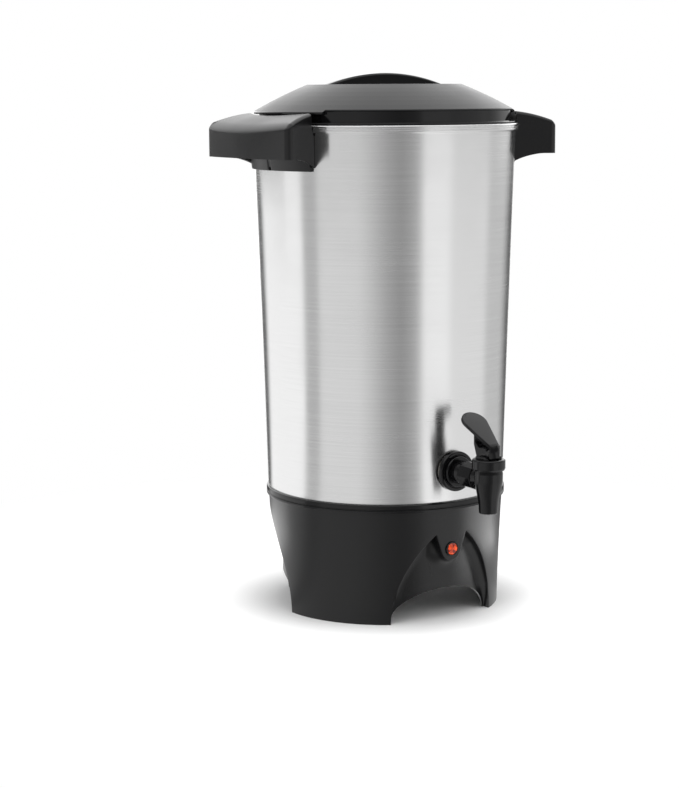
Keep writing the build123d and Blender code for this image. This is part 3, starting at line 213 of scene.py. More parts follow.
def blend(first: Array, second: Array, share: Array) -> Array:
    """Mix two shapes, from the first at share 0 to the second at share 1."""
    return first * (1 - share) + second * share


def turned(profile: Array, angles: Array | int) -> Array:
    """Carry a profile of (radius, height) round the upright axis.

    The point at angle a is (r cos a, r sin a, h).

    Args:
        profile: Points, n x 2.
        angles: Angles in radians, or how many even ones.

    Returns:
        Grid of points, angles x n x 3.
    """
    if isinstance(angles, int):
        angles = np.linspace(0, math.tau, angles, endpoint=False)
    radius, height = np.asarray(profile, float).T
    columns = [np.outer(np.cos(angles), radius), np.outer(np.sin(angles), radius)]
    return np.stack([*columns, np.broadcast_to(height, columns[0].shape)], axis=-1)


def spun(points: Array, degrees: float) -> Array:
    """Turn points about the upright axis.

    The point (x, y) goes to (x cos a - y sin a, x sin a + y cos a).

    Args:
        points: Points, their last axis holding x, y and z.
        degrees: Angle, anticlockwise from above.

    Returns:
        The turned points.
    """
    cosine, sine = math.cos(math.radians(degrees)), math.sin(math.radians(degrees))
    x, y, z = np.moveaxis(points, -1, 0)
    return np.stack([x * cosine - y * sine, x * sine + y * cosine, z], axis=-1)


def shifted(points: Array, x: float = 0, y: float = 0, z: float = 0) -> Array:
    """Move points."""
    return points + np.array([x, y, z])


def laid_forward(points: Array, height: float) -> Array:
    """Lay an upright shape forward, its height running out along -Y, its axis at a height."""
    x, y, z = np.moveaxis(points, -1, 0)
    return np.stack([x, -z, y + height], axis=-1)


def slab(outline: Array, low: float, high: float, edge: float) -> Array:
    """Grid of a flat slab with rounded edges, closed over its middle.

    Rows run from the middle of the underside, out to the outline, round the edge and back to the middle
    of the top. In the rounding a row is set in by edge (1 - sin s) and lies edge (1 - cos s) inside the
    face.

    Args:
        outline: Closed outline, n x 2, anticlockwise and star-shaped about its mean.
        low: Height of the underside.
        high: Height of the top.
        edge: Radius of the edges.

    Returns:
        Grid of points, rows x n x 3.
    """
    normal = right_of(np.roll(outline, -1, axis=0) - np.roll(outline, 1, axis=0))
    centre = outline.mean(axis=0)
    swing = np.linspace(0, math.pi / 2, 6)
    rise = edge * (1 - np.cos(swing))
    share = np.concatenate([[0, 0.9], np.ones(2 * len(swing)), [0.9, 0]])
    inset = np.concatenate([[edge, edge], edge * (1 - np.sin(swing)), rise, [edge, edge]])
    height = np.concatenate([[low, low], low + rise, high - rise[::-1], [high, high]])
    plan = outline[None] - normal[None] * inset[:, None, None]
    plan = centre + (plan - centre) * share[:, None, None]
    return np.concatenate([plan, np.broadcast_to(height[:, None, None], (*plan.shape[:2], 1))], axis=-1)


def in_scene(name: str, data: bpy.types.ID) -> bpy.types.Object:
    """Make an object and link it to the scene.

    Args:
        name: Name of the object.
        data: Its mesh, lamp or camera.

    Returns:
        The object, at the origin.
    """
    thing = bpy.data.objects.new(name, data)
    bpy.context.scene.collection.objects.link(thing)
    return thing


class Skin:
    """Grids of points, in millimetres, gathered into one mesh."""

    def __init__(self) -> None:
        """Start with nothing in it."""
        self.points: list[Array] = []
        self.faces: list[Array] = []
        self.total = 0

    def add(self, grid: Array, ring: bool = False, tube: bool = False) -> "Skin":
        """Add a grid's quads.

        Args:
            grid: Points, rows x columns x 3.
            ring: Whether the last row joins the first.
            tube: Whether the last column joins the first.

        Returns:
            The same skin, so that calls can follow one another.
        """
        rows, columns = grid.shape[:2]
        index = np.arange(rows * columns).reshape(rows, columns) + self.total
        if ring:
            index = np.vstack([index, index[:1]])
        if tube:
            index = np.hstack([index, index[:, :1]])
        quads = [index[:-1, :-1], index[:-1, 1:], index[1:, 1:], index[1:, :-1]]
        self.faces.append(np.stack(quads, axis=-1).reshape(-1, 4))
        self.points.append(grid.reshape(-1, 3))
        self.total += rows * columns
        return self

    def bridge(self, first: Array, second: Array) -> "Skin":
        """Add the strip between two rows of points."""
        return self.add(np.stack([first, second], axis=1))

    def build(self, name: str, sharp: float = 38.0, smooth: bool = True) -> bpy.types.Object:
        """Weld the grids and make an object of them.

        Args:
            name: Name of the piece.
            sharp: Angle in degrees past which an edge stays sharp.
            smooth: Whether faces are shaded smooth at all.

        Returns:
            The object, at the origin.
        """
        mesh = bpy.data.meshes.new(name)
        points = np.concatenate(self.points) * MM
        mesh.from_pydata(points.tolist(), [], np.concatenate(self.faces).tolist())
        weld(mesh, 0.004 * MM, recalculate=True)
        shade(mesh, sharp, smooth)
        return in_scene(name, mesh)


def weld(mesh: bpy.types.Mesh, distance: float, recalculate: bool) -> None:
    """Merge points that coincide, and drop the faces that shrink to nothing.

    Args:
        mesh: Mesh to change.
        distance: How far apart, in metres, points still count as one.
        recalculate: Whether all faces are then turned outwards.
    """
    work = bmesh.new()
    work.from_mesh(mesh)
    bmesh.ops.remove_doubles(work, verts=work.verts, dist=distance)
    bmesh.ops.dissolve_degenerate(work, edges=work.edges, dist=distance / 4)
    if recalculate:
        bmesh.ops.recalc_face_normals(work, faces=work.faces)
    work.to_mesh(mesh)
    work.free()


def shade(mesh: bpy.types.Mesh, sharp: float, smooth: bool = True) -> None:
    """Shade a mesh smooth between its sharp edges.

    Args:
        mesh: Mesh to change.
        sharp: Angle in degrees past which an edge stays sharp.
        smooth: Whether faces are shaded smooth at all.
    """
    mesh.polygons.foreach_set("use_smooth", np.full(len(mesh.polygons), smooth))
    if smooth:
        mesh.set_sharp_from_angle(angle=math.radians(sharp))


# ---------------------------------------------------------------- finishes
def linear(code: str) -> Colour:
    """Turn an sRGB colour into linear values.

    A channel c becomes c / 12.92 up to 0.04045, and ((c + 0.055) / 1.055) to the power 2.4 past it.

    Args:
        code: Colour as #rrggbb.

    Returns:
        Red, green, blue and an alpha of 1.
    """
    channels = np.array([int(code[start : start + 2], 16) for start in (1, 3, 5)]) / 255
    values = np.where(channels <= 0.04045, channels / 12.92, ((channels + 0.055) / 1.055) ** 2.4)
    return (*values.tolist(), 1.0)


def add_node(
    tree: bpy.types.NodeTree,
    kind: str,
    values: dict | None = None,
    links: dict | None = None,
    **settings: object,
) -> bpy.types.Node:
    """Add a shader node with its settings, socket values and links.

    Args:
        tree: Node tree to add it to.
        kind: Node type.
        values: Default value for each input.
        links: Output socket that feeds each input.
        settings: Attributes of the node.

    Returns:
        The node.
    """
    node = tree.nodes.new(kind)
    for key, value in settings.items():
        setattr(node, key, value)
    for key, value in (values or {}).items():
        node.inputs[key].default_value = value
    for key, source in (links or {}).items():
        tree.links.new(source, node.inputs[key])
    return node


@dataclass(frozen=True)
class Finish:
    """A surface whose colour, gloss and relief follow a fine pattern, its gloss also a slow drift.

    slot names the record's material slot that the finish belongs to. pattern_mm is the size of the
    pattern along X, Y and Z, so a long, thin one draws brush lines.
    """

    name: str
    slot: Slot
    low_colour: str
    high_colour: str
    roughness: tuple[float, float]
    pattern_mm: tuple[float, float, float]
    relief_mm: float
    metallic: float = 0.0
    ior: float = 1.5
    drift_mm: float = 45.0
    drift: float = 0.03

    def shader(self, tree: bpy.types.NodeTree) -> bpy.types.Node:
        """Build the pattern and the shader.

        Args:
            tree: Node tree to build in.

        Returns:
            The shader node.
        """
        place = add_node(tree, "ShaderNodeTexCoord").outputs["Object"]
        scale = [1 / (size * MM) for size in self.pattern_mm]
        fine_place = add_node(tree, "ShaderNodeMapping", {"Scale": scale}, {"Vector": place})
        fine_look = {"Scale": 1.0, "Detail": 3.0, "Roughness": 0.6}
        fine = add_node(tree, "ShaderNodeTexNoise", fine_look, {"Vector": fine_place.outputs[0]}).outputs[0]
        slow_look = {"Scale": 1 / (self.drift_mm * MM), "Detail": 2.0}
        slow = add_node(tree, "ShaderNodeTexNoise", slow_look, {"Vector": place}).outputs[0]
        colours = {6: linear(self.low_colour), 7: linear(self.high_colour)}
        colour = add_node(tree, "ShaderNodeMix", colours, {0: fine}, data_type="RGBA")
        parts = []
        for source, (low, high) in ((fine, self.roughness), (slow, (-self.drift, self.drift))):
            span = {"From Min": 0.3, "From Max": 0.7, "To Min": low, "To Max": high}
            parts.append(add_node(tree, "ShaderNodeMapRange", span, {"Value": source}).outputs[0])
        links = dict(enumerate(parts))
        rough = add_node(tree, "ShaderNodeMath", links=links, operation="ADD", use_clamp=True)
        relief = {"Strength": 1.0, "Distance": self.relief_mm * MM}
        bump = add_node(tree, "ShaderNodeBump", relief, {"Height": fine})
        return add_node(
            tree,
            "ShaderNodeBsdfPrincipled",
            {"Metallic": self.metallic, "IOR": self.ior},
            {"Base Color": colour.outputs[2], "Roughness": rough.outputs[0], "Normal": bump.outputs[0]},
        )


@dataclass(frozen=True)
class BrushedFinish(Finish):
    """Metal brushed round the upright axis, which smears reflections up and down."""

    anisotropy: float = 0.7

    def shader(self, tree: bpy.types.NodeTree) -> bpy.types.Node:
        """Build the shader with its highlight drawn out across the brush lines.

        Args:
            tree: Node tree to build in.

        Returns:
            The shader node.
        """
        shader = super().shader(tree)
        shader.inputs["Anisotropic"].default_value = self.anisotropy
        shader.inputs["Anisotropic Rotation"].default_value = 0.25
        around = add_node(tree, "ShaderNodeTangent", direction_type="RADIAL", axis="Z")
        tree.links.new(around.outputs["Tangent"], shader.inputs["Tangent"])
        return shader


@dataclass(frozen=True)
class ClearFinish(Finish):
    """Clear or tinted material with a glow of its own where it is lit from within."""

    transmission: float = 0.5
    glow: str = "#ff5a28"
    glow_strength: float = 0.0

    def shader(self, tree: bpy.types.NodeTree) -> bpy.types.Node:
        """Build the shader with its transmission and glow.

        Args:
            tree: Node tree to build in.

        Returns:
            The shader node.
        """
        shader = super().shader(tree)
        shader.inputs["Transmission Weight"].default_value = self.transmission
        shader.inputs["Emission Color"].default_value = linear(self.glow)
        shader.inputs["Emission Strength"].default_value = self.glow_strength
        return shader


@dataclass(frozen=True)
class CutLensFinish(ClearFinish):
    """Lit lens whose cut back breaks the glow into small bright and dark cells.

    cell_mm is the size of a cell.
    """

    cell_mm: float = 2.4
    dim: float = 0.0
    bright: float = 0.95

    def shader(self, tree: bpy.types.NodeTree) -> bpy.types.Node:
        """Build the shader, its glow set cell by cell from a Voronoi pattern's random colour.

        Args:
            tree: Node tree to build in.

        Returns:
            The shader node.
        """
        shader = super().shader(tree)
        place = add_node(tree, "ShaderNodeTexCoord").outputs["Object"]
        scale = {"Scale": 1 / (self.cell_mm * MM)}
        cells = add_node(tree, "ShaderNodeTexVoronoi", scale, {"Vector": place}, feature="F1")
        level = add_node(tree, "ShaderNodeSeparateColor", links={0: cells.outputs["Color"]})
        span = {"From Min": 0.1, "From Max": 0.9, "To Min": self.dim, "To Max": self.bright}
        glow = add_node(tree, "ShaderNodeMapRange", span, {"Value": level.outputs[0]})
        tree.links.new(glow.outputs[0], shader.inputs["Emission Strength"])
        return shader


def empty_material(name: str) -> bpy.types.Material:
    """Make a material whose node tree is empty.

    Args:
        name: Name of the material.

    Returns:
        The material.
    """
    material = bpy.data.materials.new(name)
    material.use_nodes = True
    material.node_tree.nodes.clear()
    return material


def show(material: bpy.types.Material, shader: bpy.types.Node) -> None:
    """Make a shader node the material's surface."""
    add_node(material.node_tree, "ShaderNodeOutputMaterial", links={"Surface": shader.outputs[0]})


@cache
def material_of(finish: Finish) -> bpy.types.Material:
    """Make a finish's material the first time, and give the same one after that.

    Args:
        finish: The finish, which also names the material.

    Returns:
        The material.
    """
    material = empty_material(finish.name)
    show(material, finish.shader(material.node_tree))
    return material


# 304 stainless sheet, brushed round the body: fine level lines that smear reflections up and down.
BRUSHED_STEEL = BrushedFinish(
    "stainless_steel_brushed", Slot.BRUSHED_STEEL, "#d8d8d8", "#ececec",
    roughness=(0.2, 0.26), pattern_mm=(110, 110, 0.7), relief_mm=0.0006, metallic=1.0,
)
# Small steel parts, drawn or turned: plain and fairly bright.
BRIGHT_STEEL = Finish(
    "steel_drawn", Slot.BRIGHT_STEEL, "#c4c4c2", "#d2d2d0",
    roughness=(0.2, 0.3), pattern_mm=(0.6, 0.6, 0.6), relief_mm=0.003, metallic=1.0,
)
# Zinc-plated screws and nuts: slightly blue, with a soft blotchy gloss.
ZINC_STEEL = Finish(
    "steel_zinc_plated", Slot.ZINC_STEEL, "#a9adb1", "#c0c2c1",
    roughness=(0.28, 0.42), pattern_mm=(1.2, 1.2, 1.2), relief_mm=0.004, metallic=1.0,
)
# Black phenolic moulding with a spark-eroded grain of about 0.2 mm, drawn at 0.35 mm to show: satin.
SATIN_BLACK = Finish(
    "phenolic_satin_black", Slot.SATIN_BLACK, "#0c0c0d", "#131314",
    roughness=(0.28, 0.36), pattern_mm=(0.35, 0.35, 0.35), relief_mm=0.003, ior=1.42,
)
# Black moulding from a polished tool: deep gloss with a faint waviness.
GLOSS_BLACK = Finish(
    "abs_gloss_black", Slot.GLOSS_BLACK, "#08080a", "#0b0b0c",
    roughness=(0.05, 0.1), pattern_mm=(3.5, 3.5, 3.5), relief_mm=0.004, ior=1.4, drift=0.02,
)
# Red acrylic lens over a lit neon lamp: its cut back breaks the orange glow into cells.
LAMP_RED = CutLensFinish(
    "acrylic_lamp_red", Slot.LAMP_RED, "#5a0a02", "#8a1a06",
    roughness=(0.1, 0.2), pattern_mm=(1.1, 1.1, 1.1), relief_mm=0.03, transmission=0.0, glow="#ff5a14",
)
# Glass of the neon tube: clear, and warm from its glow.
LAMP_GLASS = ClearFinish(
    "glass_neon_lamp", Slot.LAMP_GLASS, "#ffd9c4", "#fff0e4",
    roughness=(0.02, 0.05), pattern_mm=(2, 2, 2), relief_mm=0.001, transmission=0.8, glow_strength=0.8,
)
# Spun aluminium: soft grey, with turning marks that follow the spin.
SPUN_ALUMINIUM = BrushedFinish(
    "aluminium_spun", Slot.ALUMINIUM, "#c8c9ca", "#dcdddd",
    roughness=(0.26, 0.36), pattern_mm=(30, 30, 0.5), relief_mm=0.0012, metallic=1.0, anisotropy=0.4,
)
# Translucent food-grade silicone: milky and slightly tacky.
SILICONE = ClearFinish(
    "silicone_translucent", Slot.SILICONE, "#cfccc2", "#dedbd2",
    roughness=(0.42, 0.52), pattern_mm=(1.5, 1.5, 1.5), relief_mm=0.01, transmission=0.12,
)
# Glass-fibre sleeving over the inner leads: pale, with a fine braid.
SLEEVING = Finish(
    "glass_fibre_sleeving", Slot.SILICONE, "#b9b4a6", "#e6e1d4",
    roughness=(0.6, 0.75), pattern_mm=(0.7, 0.7, 0.7), relief_mm=0.08,
)
# Turned brass: warm yellow, with a faint grain.
BRASS = Finish(
    "brass_turned", Slot.BRASS, "#b08d45", "#c9a75c",
    roughness=(0.22, 0.32), pattern_mm=(0.8, 0.8, 0.8), relief_mm=0.003, metallic=1.0,
)
# Steatite, pressed and fired: off-white, matt, very slightly gritty.
STEATITE = Finish(
    "steatite_white", Slot.CERAMIC_WHITE, "#d8d4c8", "#e6e2d8",
    roughness=(0.55, 0.7), pattern_mm=(0.4, 0.4, 0.4), relief_mm=0.01,
)
# Mica-insulated heating ring: dark, with silvery flakes.
MICA = Finish(
    "mica_dark", Slot.DARK_CERAMIC, "#1e1a17", "#3b332c",
    roughness=(0.35, 0.6), pattern_mm=(1.4, 1.4, 1.4), relief_mm=0.02,
)


def settle(piece: bpy.types.Object, finish: Finish, body: Body, *nodes: str) -> bpy.types.Object:
    """Give a piece its finish and body, and hide the CAD nodes that it takes the place of.

    Args:
        piece: The new piece.
        finish: What it is made of.
        body: Body that it rides on.
        nodes: CAD nodes that it replaces.

    Returns:
        The piece.
    """
    piece.data.materials.clear()
    piece.data.materials.append(material_of(finish))
    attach(piece, body.value)
    if nodes:
        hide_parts(*nodes)
    LOG.info("%s: %d faces, on %s", piece.name, len(piece.data.polygons), body.value)
    return piece


@dataclass
class Fitting:
    """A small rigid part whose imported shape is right: its triangles are welded and shaded smooth."""

    node: str
    name: str
    finish: Finish
    body: Body = Body.URN
    sharp: float = 32.0

    def build(self, nodes: dict[str, bpy.types.Object]) -> bpy.types.Object:
        """Copy the node's mesh, weld it, shade it and dress it.

        Args:
            nodes: The frame's CAD objects, by name.

        Returns:
            The piece.
        """
        mesh = nodes[self.node].data.copy()
        mesh.name = self.name
        weld(mesh, 0.002 * MM, recalculate=False)
        shade(mesh, self.sharp)
        return settle(in_scene(self.name, mesh), self.finish, self.body, self.node)


@dataclass
class Spring(Fitting):
    """A fitting that is given a mesh of its own."""

    joint: str = "stem_lift"
    upper_end: tuple[float, float, float] = (0, -155.847, 138.3)
    keep: float = 0.56

    def build(self, nodes: dict[str, bpy.types.Object]) -> bpy.types.Object:
        """Build the fitting and give it a mesh of its own."""
        piece = super().build(nodes)
        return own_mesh(piece)


# ---------------------------------------------------------------- vessel
@dataclass
class Vessel:
    """Steel vessel: a cone from seam to rim, with a rounded foot, a heating well and a rolled bead."""

    seam_r: float = 105.6
    seam_z: float = 106.5
    rim_r: float = 115.5
    bead_z: float = 422.2
    rim_z: float = 428.4
    bead_r: float = 118.3
    bead_round: float = 1.6
    foot_z: float = 94.0
    foot_round: float = 16.0
    wall: float = 0.9
    well_r: float = 22.0
    well_depth: float = 12.0
    base_stud_r: float = 82.0
    base_stud: tuple[float, float] = (2.5, 13.0)
    clamp_stud: tuple[float, float] = (3.0, 12.0)
    handle_stud: tuple[float, float] = (2.0, 9.5)
    handle_stud_z: float = 410.2
    stud_root: float = 0.45

    def cone(self, z: float | Array) -> float | Array:
        """Radius of the plain cone at a height."""
        return self.seam_r + (self.rim_r - self.seam_r) * (z - self.seam_z) / (self.bead_z - self.seam_z)

    def outside(self, z: Array) -> Array:
        """Outer radius at a height, with the foot's rounding taken off the cone."""
        below = np.clip(self.foot_z + self.foot_round - z, 0, self.foot_round)
        return self.cone(z) - self.foot_round + np.sqrt(self.foot_round**2 - below**2)

    def profile(self) -> Array:
        """Section of the wall: outside from the well to the bead, then back down the inside.

        Returns:
            Points of (radius, height), n x 2.
        """
        foot, rim, wall = self.foot_z, self.rim_z, self.wall
        low = foot - self.well_depth
        steps = ((1.9, 0), (2.15, 0.3), (2.4, 0), (3.6, 0), (3.85, 0.3), (4.1, 0))
        grooves = [(self.bead_r - dip, self.bead_z + rise) for rise, dip in steps]
        corners = [
            (0, low), (self.well_r, low), (self.well_r, foot), (self.cone(foot), foot),
            (self.rim_r, self.bead_z), (self.bead_r, self.bead_z), *grooves, (self.bead_r, rim),
            (self.cone(rim) - wall, rim), (self.cone(foot) - wall, foot + wall),
            (self.well_r - wall, foot + wall), (self.well_r - wall, low + wall), (0, low + wall),
        ]
        radii = [0, 1.5, 2.0, self.foot_round, 0.5, self.bead_round, *[0.12] * 6, self.bead_round,
                 1.4, self.foot_round - wall, 2.0, 1.5, 0]
        return rounded(corners, radii, steps=10)

    def stud(self, radius: float, length: float) -> Array:
        """Upright welded stud with a thread of level rings, standing on its free end.

        Args:
            radius: Radius over the thread.
            length: Length from the free end to the vessel.

        Returns:
            Grid of points, angles x n x 3.
        """
        pitch, depth, chamfer = 0.8, 0.35, 0.8
        steps = np.arange(2 * int((length - 2) / pitch))
        thread = np.column_stack([radius - depth * (steps % 2), 1 + pitch / 2 * steps])
        tip = [(0, 0), (radius - chamfer, 0), (radius, chamfer)]
        return turned(np.vstack([tip, thread, [(radius, length), (0, length)]]), 24)

    def build(self) -> None:
        """Make the vessel with its studs."""
        skin = Skin().add(turned(self.profile(), 320), ring=True)
        down = shifted(self.stud(*self.base_stud), x=self.base_stud_r, z=self.foot_z - self.base_stud[1])
        for angle in (-90, 30, 150):
            skin.add(spun(down, angle), ring=True)
        low = self.foot_z - self.well_depth
        skin.add(shifted(self.stud(*self.clamp_stud), z=low - self.clamp_stud[1]), ring=True)
        x, y, z = np.moveaxis(self.stud(*self.handle_stud), -1, 0)
        tip = self.cone(self.handle_stud_z) + self.handle_stud[1] - self.stud_root
        out = np.stack([tip - z, y, x + self.handle_stud_z], axis=-1)
        for angle in (-15, 15, 165, 195):
            skin.add(spun(out, angle), ring=True)
        settle(skin.build("steel_vessel"), BRUSHED_STEEL, Body.URN, "tank")


# ---------------------------------------------------------------- base
@dataclass
class SeamRing:
    """Glossy band between steel and base, with one fine groove and a rounded top edge."""

    vessel: Vessel
    low: float = 99.5
    high: float = 106.5
    inside: float = 102.0
    outside: float = 107.4

    def build(self) -> None:
        """Make the band, its back following the vessel's rounded foot."""
        low, high, out = self.low, self.high, self.outside
        heights = np.linspace(high, low, 9)
        back = np.column_stack([np.maximum(self.inside, self.vessel.outside(heights) + 0.02), heights])
        groove = out - 0.7
        corners = [
            (self.inside, low), (out - 0.2, low), (out, low + 0.5), (out, low + 1.9), (groove, low + 2.3),
            (groove, low + 2.9), (out, low + 3.3), (out - 0.1, high), (self.inside, high),
        ]
        face = rounded(corners, [0, 0.1, 0.4, 0.25, 0.15, 0.15, 0.3, 1.0, 0])
        profile = np.vstack([face[:-1], back])
        piece = Skin().add(turned(profile, 320), ring=True, tube=True).build("seam_band")
        settle(piece, GLOSS_BLACK, Body.URN, "seam_ring")


@dataclass
class Base:
    """Black base moulding: a flared skirt with three arches, and an inner drum behind them.

    Each third of it is one grid. Its rows run from the middle of a leg and the top, over the skirt's
    face to the arch's edge, round that edge, in along the arch's wall, through a fillet and down the
    drum to the low arch. Its columns follow the arch's edge. The same grid, set in by the wall, is the
    inside.

    softening is the reach and spread, in points, of the mean that rounds the arch's corners. crowding
    is how much closer the columns stand at a peak, and how far from it that fades.
    """

    foot_r: float = 101.4
    top_r: float = 105.4
    height: float = 99.5
    plain_z: float = 80.0
    hollow: float = 0.5
    wall: float = 2.7
    edge: float = 0.8
    inner_edge: float = 0.5
    fillet: float = 9.5
    arch_half: float = 52.2
    arch_r: float = 101.3
    peak_x: float = 15.8
    side_peak_x: float = 6.0
    cap_rise: float = 1.4
    lamp_z: float = 64.2
    tongue_r: float = 10.4
    lamp_hole_r: float = 6.6
    drum_r: float = 95.0
    drum_lean: float = 0.05
    low_half: float = 50.0
    low_height: float = 28.0
    shelf_r: float = 76.0
    shelf_z: float = 94.0
    shelf_wall: float = 3.0
    seat_r: tuple[float, float] = (102.2, 102.0)
    post_r: tuple[float, float] = (1.6, 4.2)
    post_z: float = 32.0
    post_circle_r: float = 80.0
    cord_z: float = 56.0
    cord_bore_r: float = 4.2
    cord_boss_r: float = 8.0
    cord_ring: float = 12.0
    ring_steps: int = 24
    arch_step: float = 0.2
    softening: tuple[int, float] = (9, 2.6)
    crowding: tuple[float, float] = (4.0, 3.0)
    columns: int = 241
    leg_columns: int = 64

    def face(self, z: float | Array) -> float | Array:
        """Outer radius of the skirt: straight flare less a parabola that is deepest half way up."""
        share = z / self.height
        return self.foot_r + (self.top_r - self.foot_r) * share - 4 * self.hollow * share * (1 - share)

    def sharp_arch(self, tongue: bool) -> tuple[Array, float]:
        """Edge of one arch from its right foot to its left one, seen square on.

        The sides are arcs about points on the floor, and between the peaks the edge follows the tongue
        and its round tip, or a small cap.

        Args:
            tongue: Whether the arch carries the lamp's tongue.

        Returns:
            Points, n x 2, and the length of the edge from a foot to the next peak.
        """
        centre = self.arch_half - self.arch_r
        peak_x = self.peak_x if tongue else self.side_peak_x
        top = math.acos((peak_x - centre) / self.arch_r)
        swing = np.linspace(0, top, 400)
        side = np.column_stack([centre + self.arch_r * np.cos(swing), self.arch_r * np.sin(swing)])
        peak_z = side[-1, 1]
        tip = np.array([(0, peak_z + self.cap_rise)])
        if tongue:
            rise = peak_z - self.lamp_z
            start = math.atan2(rise, peak_x) - math.acos(self.tongue_r / math.hypot(peak_x, rise))
            swing = np.linspace(start, -math.pi / 2, 60)
            tip = self.tongue_r * np.column_stack([np.cos(swing), np.sin(swing)]) + [0, self.lamp_z]
        half = np.vstack([side, tip])
        return np.vstack([half, (half * [-1, 1])[-2::-1]]), self.arch_r * top

    def arch(self, tongue: bool) -> tuple[Array, Array]:
        """Edge of one arch, its corners softened and its points closer together near the peaks.

        Args:
            tongue: Whether the arch carries the lamp's tongue.

        Returns:
            Points, columns x 2, and the distance of each from the nearest peak.
        """
        line, peak_at = self.sharp_arch(tongue)
        along = walked(line)
        even = np.append(np.arange(0, along[-1], self.arch_step), along[-1])
        soft = softened(sampled(line, along, even), *self.softening)
        from_peak = np.minimum(np.abs(even - peak_at), np.abs(along[-1] - even - peak_at))
        extra, fade = self.crowding
        density = np.cumsum(1 + extra * np.exp(-((from_peak / fade) ** 2)))
        density = (density - density[0]) / (density[-1] - density[0])
        share = np.linspace(0, 1, self.columns)
        return sampled(soft, density, share), np.interp(share, density, from_peak)

    def border(self, ring_side: int) -> tuple[Array, Array]:
        """Leg's middle line, the top, and the next leg's middle line, as (angle, height).

        On the leg that holds the cord's hole the line steps round the hole on a circle.

        Args:
            ring_side: 1 or -1 where the right or left leg has the cord's hole, else 0.

        Returns:
            Angles in radians and heights, one for each column.
        """
        ring, below = self.cord_ring, 20
        above = self.leg_columns - below - self.ring_steps
        swing = np.linspace(0, math.pi, self.ring_steps + 1)
        low = np.linspace(0, self.cord_z - ring, below + 1)
        high = np.linspace(self.cord_z + ring, self.height, above + 1)
        z = np.concatenate([low[:-1], self.cord_z - ring * np.cos(swing), high[1:]])
        bulge = np.sqrt(np.clip(ring**2 - (z - self.cord_z) ** 2, 0, None))
        leg = math.pi / 3
        top = np.linspace(leg, -leg, self.columns - 2 * self.leg_columns)
        right = leg - (ring_side == 1) * np.arcsin(bulge / self.face(z))
        left = -leg + (ring_side == -1) * np.arcsin(bulge / self.face(z))
        angles = np.concatenate([right[:-1], top, left[-2::-1]])
        heights = np.concatenate([z[:-1], np.full(len(top), self.height), z[-2::-1]])
        return angles, heights

    def third(self, skin: Skin, angle: float, tongue: bool, ring_side: int) -> None:
        """Add one third of the moulding.

        Args:
            skin: Skin to add it to.
            angle: Where the arch faces, in degrees.
            tongue: Whether it carries the lamp's tongue.
            ring_side: Which of its legs has the cord's hole.
        """
        line, from_peak = self.arch(tongue)
        normal = right_of(np.gradient(line, axis=0))
        along = walked(line)
        from_foot = np.minimum(along, along[-1] - along)
        fillet = np.minimum(self.fillet, np.minimum(0.5 * from_peak + 0.3, 1.2 + 0.35 * from_foot))
        peaks = self.peaks(from_peak) if tongue else ()
        layers = []
        for depth, crook in ((0.0, self.edge), (self.wall, self.inner_edge)):
            opening = line + normal * (depth + crook)
            grids = [
                self.skirt(opening, peaks, depth, ring_side),
                self.section(line, normal, fillet, depth, crook),
            ]
            if tongue:
                grids.append(self.tongue_face(opening, peaks, depth))
            layers.append(grids)
        for grid in (grid for grids in layers for grid in grids):
            skin.add(spun(grid, angle + 90))
        seams = [(0, np.s_[:, 0]), (0, np.s_[:, -1]), (1, np.s_[:, 0]), (1, np.s_[:, -1]), (1, np.s_[-1])]
        if tongue:
            seams.append((2, np.s_[0]))
        for grid, edge in seams:
            skin.bridge(*(spun(grids[grid][edge], angle + 90) for grids in layers))

    def skirt(self, opening: Array, peaks: tuple[int, ...], depth: float, ring_side: int) -> Array:
        """Grid of the skirt's face, from the legs' middle lines and the top to the opening.

        A row's angle and height run evenly from the border's to the opening's. Over a tongue the face
        ends on the straight line between the peaks.

        Args:
            opening: Line round the opening, columns x 2.
            peaks: Columns of the right and left peak where there is a tongue.
            depth: How far in from the outer face.
            ring_side: Which of the legs has the cord's hole.

        Returns:
            Grid of points, rows x columns x 3.
        """
        border_angle, border_z = self.border(ring_side)
        if depth > 0:
            shelf = self.shelf_z - self.shelf_wall
            border_z = np.interp(
                border_z, [0, self.plain_z, self.height], [0, self.plain_z, shelf]
            )
        edge = opening.copy()
        if peaks:
            right, left = peaks
            share = np.linspace(0, 1, left - right + 1)[:, None]
            edge[right : left + 1] = blend(opening[right], opening[left], share)
        edge_angle = np.arcsin(edge[:, 0] / (self.face(edge[:, 1]) - depth))
        share = np.linspace(0, 1, 15)[:, None]
        angles = blend(border_angle, edge_angle, share)
        heights = blend(border_z, edge[:, 1], share)
        reach = self.face(heights) - depth
        return np.stack([reach * np.sin(angles), -reach * np.cos(angles), heights], axis=-1)

    def peaks(self, from_peak: Array) -> tuple[int, int]:
        """Columns of the right and left peak."""
        half = self.columns // 2
        return int(np.argmin(from_peak[:half])), int(half + np.argmin(from_peak[half:]))

